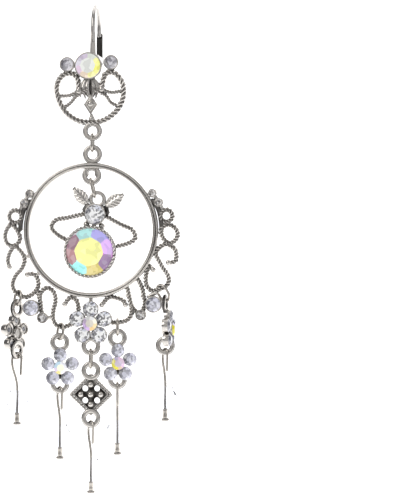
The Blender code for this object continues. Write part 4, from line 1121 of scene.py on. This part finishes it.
def veinedLeaf(start, end, width, thickness):
    # A grid pulled into a serrated leaf with a raised midrib and slanting veins
    bpy.ops.mesh.primitive_grid_add(x_subdivisions=48, y_subdivisions=16, size=1)
    leaf = bpy.context.object
    length = (end - start).length
    for vertex in leaf.data.vertices:
        along, across = vertex.co.x + 0.5, vertex.co.y * 2
        teeth = 1 + 0.16 * (1 - (along * 6 + 0.25) % 1.0)
        reach = width * math.sin(math.pi * min(along * 0.96 + 0.05, 1.0)) ** 0.75 * teeth
        rib = math.exp(-(across / 0.16) ** 2) * 0.20
        vein = 0.10 * math.sin((along * 12 - abs(across) * 2.4) * math.pi)
        rise = thickness * (rib + vein * min(abs(across) * 2, 1) + 0.35 * (1 - across ** 2))
        vertex.co = (along * length, across * reach, rise)
    shaped(leaf, "SOLIDIFY", thickness=thickness * 0.8, offset=-1)
    run = (end - start).normalized()
    turn = Matrix((run, up(1).cross(run), up(1))).transposed().to_4x4()
    return placed(leaf, Matrix.Translation(start) @ turn)


def buildPendant():
    eyeBar, grip = pendant["eyeBar"], pendant["grip"]
    bar = hungBar(lowBar(innerEye), eyes["bar"] / 2, links["lower"], eyeBar / 2, innerLean)
    # The link rests beside the top of the eye
    reach = eyeDrop(eyeBar)
    beside = Matrix.Translation((reach * math.sin(grip), 0, reach * (1 - math.cos(grip))))
    # In the pendant's own frame x runs right, y up and z to the front
    local = Matrix.Translation(bar) @ spun(pendant["lean"], "Y") @ beside @ spun(math.pi / 2, "X")
    cup, bezel = pendant["cup"] * mm, pendant["bezel"] * mm
    eyeLevel = -reach
    cupLevel = 2 * eyeLevel - cup + pendant["lap"] * mm
    bezelLevel = cupLevel - cup - bezel - pendant["gap"] * mm
    ballLevel = (cupLevel * bezel + bezelLevel * cup) / (bezel + cup)

    def sided(side, level, shares, front=0.0):
        return [Vector((side * x * bezel, level + y * bezel, front)) for x, y in shares]

    parts = [castEye(Matrix.Translation((0, eyeLevel, 0)), eyeBar)]
    for side in (-1, 1):
        parts.append(ropeAlong(sided(side, bezelLevel, pendant["loop"]), pendant["rope"], pendant["lay"]))
        parts.append(veinedLeaf(*sided(side, eyeLevel, pendant["leafEnds"], 0.1 * mm), pendant["leafWidth"],
                                pendant["leafWall"]))
        parts.append(paintedDark(wireAlong(sided(side, eyeLevel, pendant["bundle"]), 0.62 * mm), 0.08))
        bpy.ops.mesh.primitive_uv_sphere_add(segments=20, ring_count=12, radius=pendant["ball"])
        parts.append(placed(bpy.context.object, Matrix.Translation((side * cup * 0.74, ballLevel, 0))))
    neck = [Vector((0, cupLevel - cup * 0.85, 0)), Vector((0, bezelLevel + bezel * 0.85, 0))]
    parts.append(wireAlong(neck, 0.44 * mm, smooth=False))
    cupPlace = Matrix.Translation((0, cupLevel, -cupBack(cup)))
    bezelPlace = Matrix.Translation((0, bezelLevel, -cupBack(bezel)))
    parts.append(placed(stoneCup(cup, 0.22 * mm, 1.5 * mm), cupPlace))
    parts.append(placed(stoneCup(bezel - 0.12 * mm, 0.42 * mm, 2.1 * mm, 64), bezelPlace))
    parts += prongBeads(cupPlace, cup * 0.93, 4, 0.28 * mm, math.pi / 4, 1.55 * mm)
    for inset, height, radius, lay in pendant["milling"]:
        ring = ringPoints(bezel - inset * mm, 96, height * mm)
        parts.append(placed(ropeAlong(ring, radius * mm, lay * mm, True, 2, False), bezelPlace))
    small = setStone("small", cup - 0.2 * mm, 1.5 * mm, "clear", cupPlace)
    large = setStone("large", bezel - 0.52 * mm, 2.1 * mm, "pendantLarge", bezelPlace)
    for stone, name, material in ((small, "small", sparkGlass), (large, "large", bigStoneGlass)):
        finishGlass("stonePendant" + titled(name), [placed(stone, local)], "pendant", material,
                    "stone_pendant_" + name)
    finishPiece("pendantCasting", [placed(part, local) for part in parts], "pendant", castSilver,
                ["pendant_frame"])


buildPendant()

# Five small drops

drop = {
    "petal": 1.36, "cup": 1.3, "lap": 0.1, "neck": 0.1, "eyeLap": 0.85, "petalDepth": 1.22,
    "diamondWide": 3.85 * mm, "diamondHigh": 3.3 * mm,
    "pinLength": 14.2 * mm, "pinWire": 0.27 * mm, "tail": 4.6 * mm, "hairpin": 1.3 * mm,
    "head": 0.8 * mm, "headThick": 0.48 * mm, "tube": 0.54 * mm, "tubeLength": 1.8 * mm,
    "bead": 2.55 * mm, "beadHalf": 2.25 * mm, "beadRim": 1.45 * mm, "seat": 0.08 * mm,
    "bore": 0.08 * mm, "bailBar": 0.39 * mm,
    "places": {
        "outer_left": ((-1.08, -0.945), 2.5, 12, 38, -118, -118, 90, "dropLeft"),
        "inner_left": ((-0.446, -1.43), 2.7, 8, 35, 12, 0, 38, "dropLeft"),
        "centre": (None, 3.2, 0, 0, 0, 0, 38, None),
        "inner_right": ((0.394, -1.36), 2.7, 0, 10, 12, 0, 10, "dropRight"),
        "outer_right": ((1.035, -0.86), 2.9, -30, 54, 84, 0, 35, "dropRight")}}


diamond = {"wider": 1.09, "higher": 1.24, "hole": 0.6 * mm, "holeAt": 1.2 * mm, "bead": 0.60 * mm,
           "borders": [(0.985, 0.29, 2.1), (0.83, 0.15, 1.3)]}


def buildFlower(name, eyePlace, turn, lowerTurn, chart):
    petal, cup = drop["petal"] * mm, drop["cup"] * mm
    reach = (drop["cup"] + drop["petal"] - drop["lap"]) * mm
    outer = eyeDrop() + eyes["bar"] / 2
    flower = -(outer + reach + (drop["petal"] - drop["eyeLap"]) * mm)
    lower = flower - (drop["cup"] + drop["neck"]) * mm - outer
    whole = Matrix.Translation(eyePlace) @ spun(turn, "Z")
    front = spun(math.pi / 2, "X")
    parts = [castEye(whole @ front),
             castEye(whole @ Matrix.Translation(up(lower)) @ spun(lowerTurn - turn, "Z") @ front)]
    petals = []
    for x, z in petalSpots(reach):
        seat = whole @ Matrix.Translation((x, 0, flower + z)) @ front
        petalCup = openedBack(stoneCup(petal, 0.12 * mm, drop["petalDepth"] * mm, 24), 0.30 * mm)
        parts.append(placed(petalCup, seat))
        petals.append(setStone("small", petal - 0.05 * mm, drop["petalDepth"] * mm, "mist", seat))
    seat = whole @ Matrix.Translation((0, cupBack(cup), flower)) @ front
    parts.append(placed(openedBack(stoneCup(cup, 0.14 * mm, 2.1 * mm, 28), 0.2 * mm), seat))
    stone = setStone("small", cup, 2.1 * mm, chart, seat)
    finishGlass("stoneFlower" + titled(name), [stone], "hoop", bigStoneGlass, "stone_flower_" + name)
    finishGlass("petalStones" + titled(name), petals, "hoop", smallStoneGlass)
    finishPiece("flowerCasting" + titled(name), parts, "hoop", castSilver, ["flower_" + name])
    return eyePlace + up(lower)


def piercedPlate(middle, wide, high):
    # A black four-sided plate with a round hole in each quarter, cut out by a boolean
    bpy.ops.mesh.primitive_cylinder_add(vertices=4, radius=1, depth=1)
    plate = placed(bpy.context.object, Matrix.Diagonal((wide, high, 0.8 * mm, 1)))
    pegs = []
    for across, rise in ((-1, -1), (-1, 1), (1, -1), (1, 1)):
        bpy.ops.mesh.primitive_cylinder_add(vertices=24, radius=diamond["hole"], depth=3 * mm)
        spot = Vector((across * diamond["holeAt"], rise * diamond["holeAt"], 0))
        pegs.append(placed(bpy.context.object, Matrix.Translation(spot)))
    selectOnly(*pegs)
    bpy.ops.object.join()
    peg = bpy.context.object
    beveled(shaped(plate, "BOOLEAN", operation="DIFFERENCE", object=peg), 0.05 * mm)
    bpy.data.objects.remove(peg)
    return paintedDark(placed(plate, facing(middle.x, middle.z, 0.5 * mm)))


def buildDiamond(eyePlace):
    level = up(-(eyeDrop() + drop["diamondHigh"]))
    middle = eyePlace + level
    lower = middle + level
    # Its corners lap over the eyes
    wide, high = drop["diamondWide"] * diamond["wider"], drop["diamondHigh"] * diamond["higher"]
    ways = [Vector((x * wide, 0, z * high)) for x, z in ((0, 1), (1, 0), (0, -1), (-1, 0))]
    parts = [castEye(facing(eyePlace.x, eyePlace.z)), castEye(facing(lower.x, lower.z)),
             piercedPlate(middle, wide * 0.9, high * 0.9)]
    for share, radius, lay in diamond["borders"]:
        route = []
        for first, second in zip(ways, ways[1:] + ways[:1]):
            route += [middle + first.lerp(second, part) * share for part in (0.04, 0.30, 0.70, 0.96)]
        parts.append(ropeAlong(route, radius * mm, lay * mm, True))
    for way in ways:
        parts.append(castBall(diamond["bead"], middle + way * 0.48 + Vector((0, -0.25 * mm, 0)), 0.8))
    parts.append(castBall(0.64 * mm, middle + Vector((0, -0.3 * mm, 0)), 0.9))
    finishPiece("diamondCasting", parts, "hoop", castSilver, ["diamond_centre"])
    return lower


def facetedBead():
    # A turned blank, its middle band cut into kites by slanted planes
    hole = drop["pinWire"] + drop["bore"]
    rim, half, radius = drop["beadRim"], drop["beadHalf"], drop["bead"]
    turnedPiece([(hole, -half), (rim, -half), (radius, 0), (rim, half), (hole, half), (hole, -half)], 10)
    openMesh()
    for level in (-1, 1):
        for turn in circle(10, math.pi / 10):
            bpy.ops.mesh.select_all(action="SELECT")
            bpy.ops.mesh.bisect(plane_co=spoke(turn, radius * 0.905, level * half * 0.30),
                                plane_no=spoke(turn, 1.0, level * 0.42).normalized(), use_fill=True,
                                clear_outer=True, threshold=1e-7)
    bpy.ops.mesh.select_all(action="SELECT")
    bpy.ops.mesh.normals_make_consistent(inside=False)
    closeMesh()
    bpy.context.object.name = "beadBlank"
    return bpy.context.object


def buildPin(name, eyePlace, turn, blank):
    place = Matrix.Translation(eyePlace - up(eyeDrop())) @ spun(turn, "Z")
    wire, tail, wide, thick = drop["pinWire"], drop["tail"], drop["head"], drop["headThick"] / 2
    half = drop["hairpin"] / 2 + wire
    top = eyes["bar"] / 2 + links["gap"] + wire
    foot = top - drop["pinLength"]
    points = [up(foot), up(foot + 3 * mm), up(top - tail - 2 * half)]
    points.append(Vector((0, half, top - tail + 2 * half)))
    for index in range(9):
        angle = math.pi * index / 8
        points.append(Vector((0, half * math.cos(angle), top - half + half * math.sin(angle))))
    points.append(Vector((0, -half * 0.8, top - tail)))
    head = turnedPiece([(0, foot - thick), (wide * 0.9, foot - thick), (wide, foot - thick * 0.4),
                        (wide, foot + thick * 0.6), (wide * 0.9, foot + thick), (0, foot + thick)], 28)
    parts = [paintedDark(placed(head, place), 0.12), placed(wireAlong(points, wire, step=0.2 * mm), place)]
    finishPiece("headpinWire" + titled(name), parts, "hoop", wireSilver, ["headpin_" + name])
    low, hole, wide = foot + thick + drop["seat"], wire + drop["bore"], drop["tube"]
    tall = low + drop["tubeLength"]
    tube = turnedPiece([(hole, low), (wide * 0.94, low), (wide, low + 0.1 * mm), (wide * 0.9, low + 0.5 * mm),
                        (wide * 0.9, tall - 0.5 * mm), (wide, tall - 0.1 * mm), (wide * 0.94, tall),
                        (hole, tall), (hole, low)], 28)
    finishPiece("tubeSleeve" + titled(name), [placed(tube, place)], "hoop", wireSilver, ["tube_" + name])
    middle = tall + drop["seat"] + drop["beadHalf"]
    bead = placed(copied(blank), place @ Matrix.Translation(up(middle)))
    finishGlass("clearBead" + titled(name), [bead], "hoop", beadGlass, "bead_" + name)


def buildDrops():
    blank = facetedBead()
    for name, (share, length, *angles, chart) in drop["places"].items():
        lean, spin, turn, lowerTurn, pinTurn = map(math.radians, angles)
        bar = planSpot(hoop, share) if share else lowBar(hoop["eyes"][2])
        halfBar = drop["bailBar"] if share else eyes["bar"] / 2
        link = jumpLink(bar, halfBar, length * mm, lean, spin)
        finishPiece("jumpLink" + titled(name), [link], "hoop", wireSilver, ["link_" + name])
        eyePlace = hungBar(bar, halfBar, length * mm, eyes["bar"] / 2, lean) - up(eyeDrop())
        lower = buildFlower(name, eyePlace, turn, lowerTurn, chart) if chart else buildDiamond(eyePlace)
        buildPin(name, lower, pinTurn, blank)
    bpy.data.objects.remove(blank)


buildDrops()
for spare in list(brilliants.values()) + list(ropeShapes.values()):
    bpy.data.objects.remove(spare)
print("all pieces built")
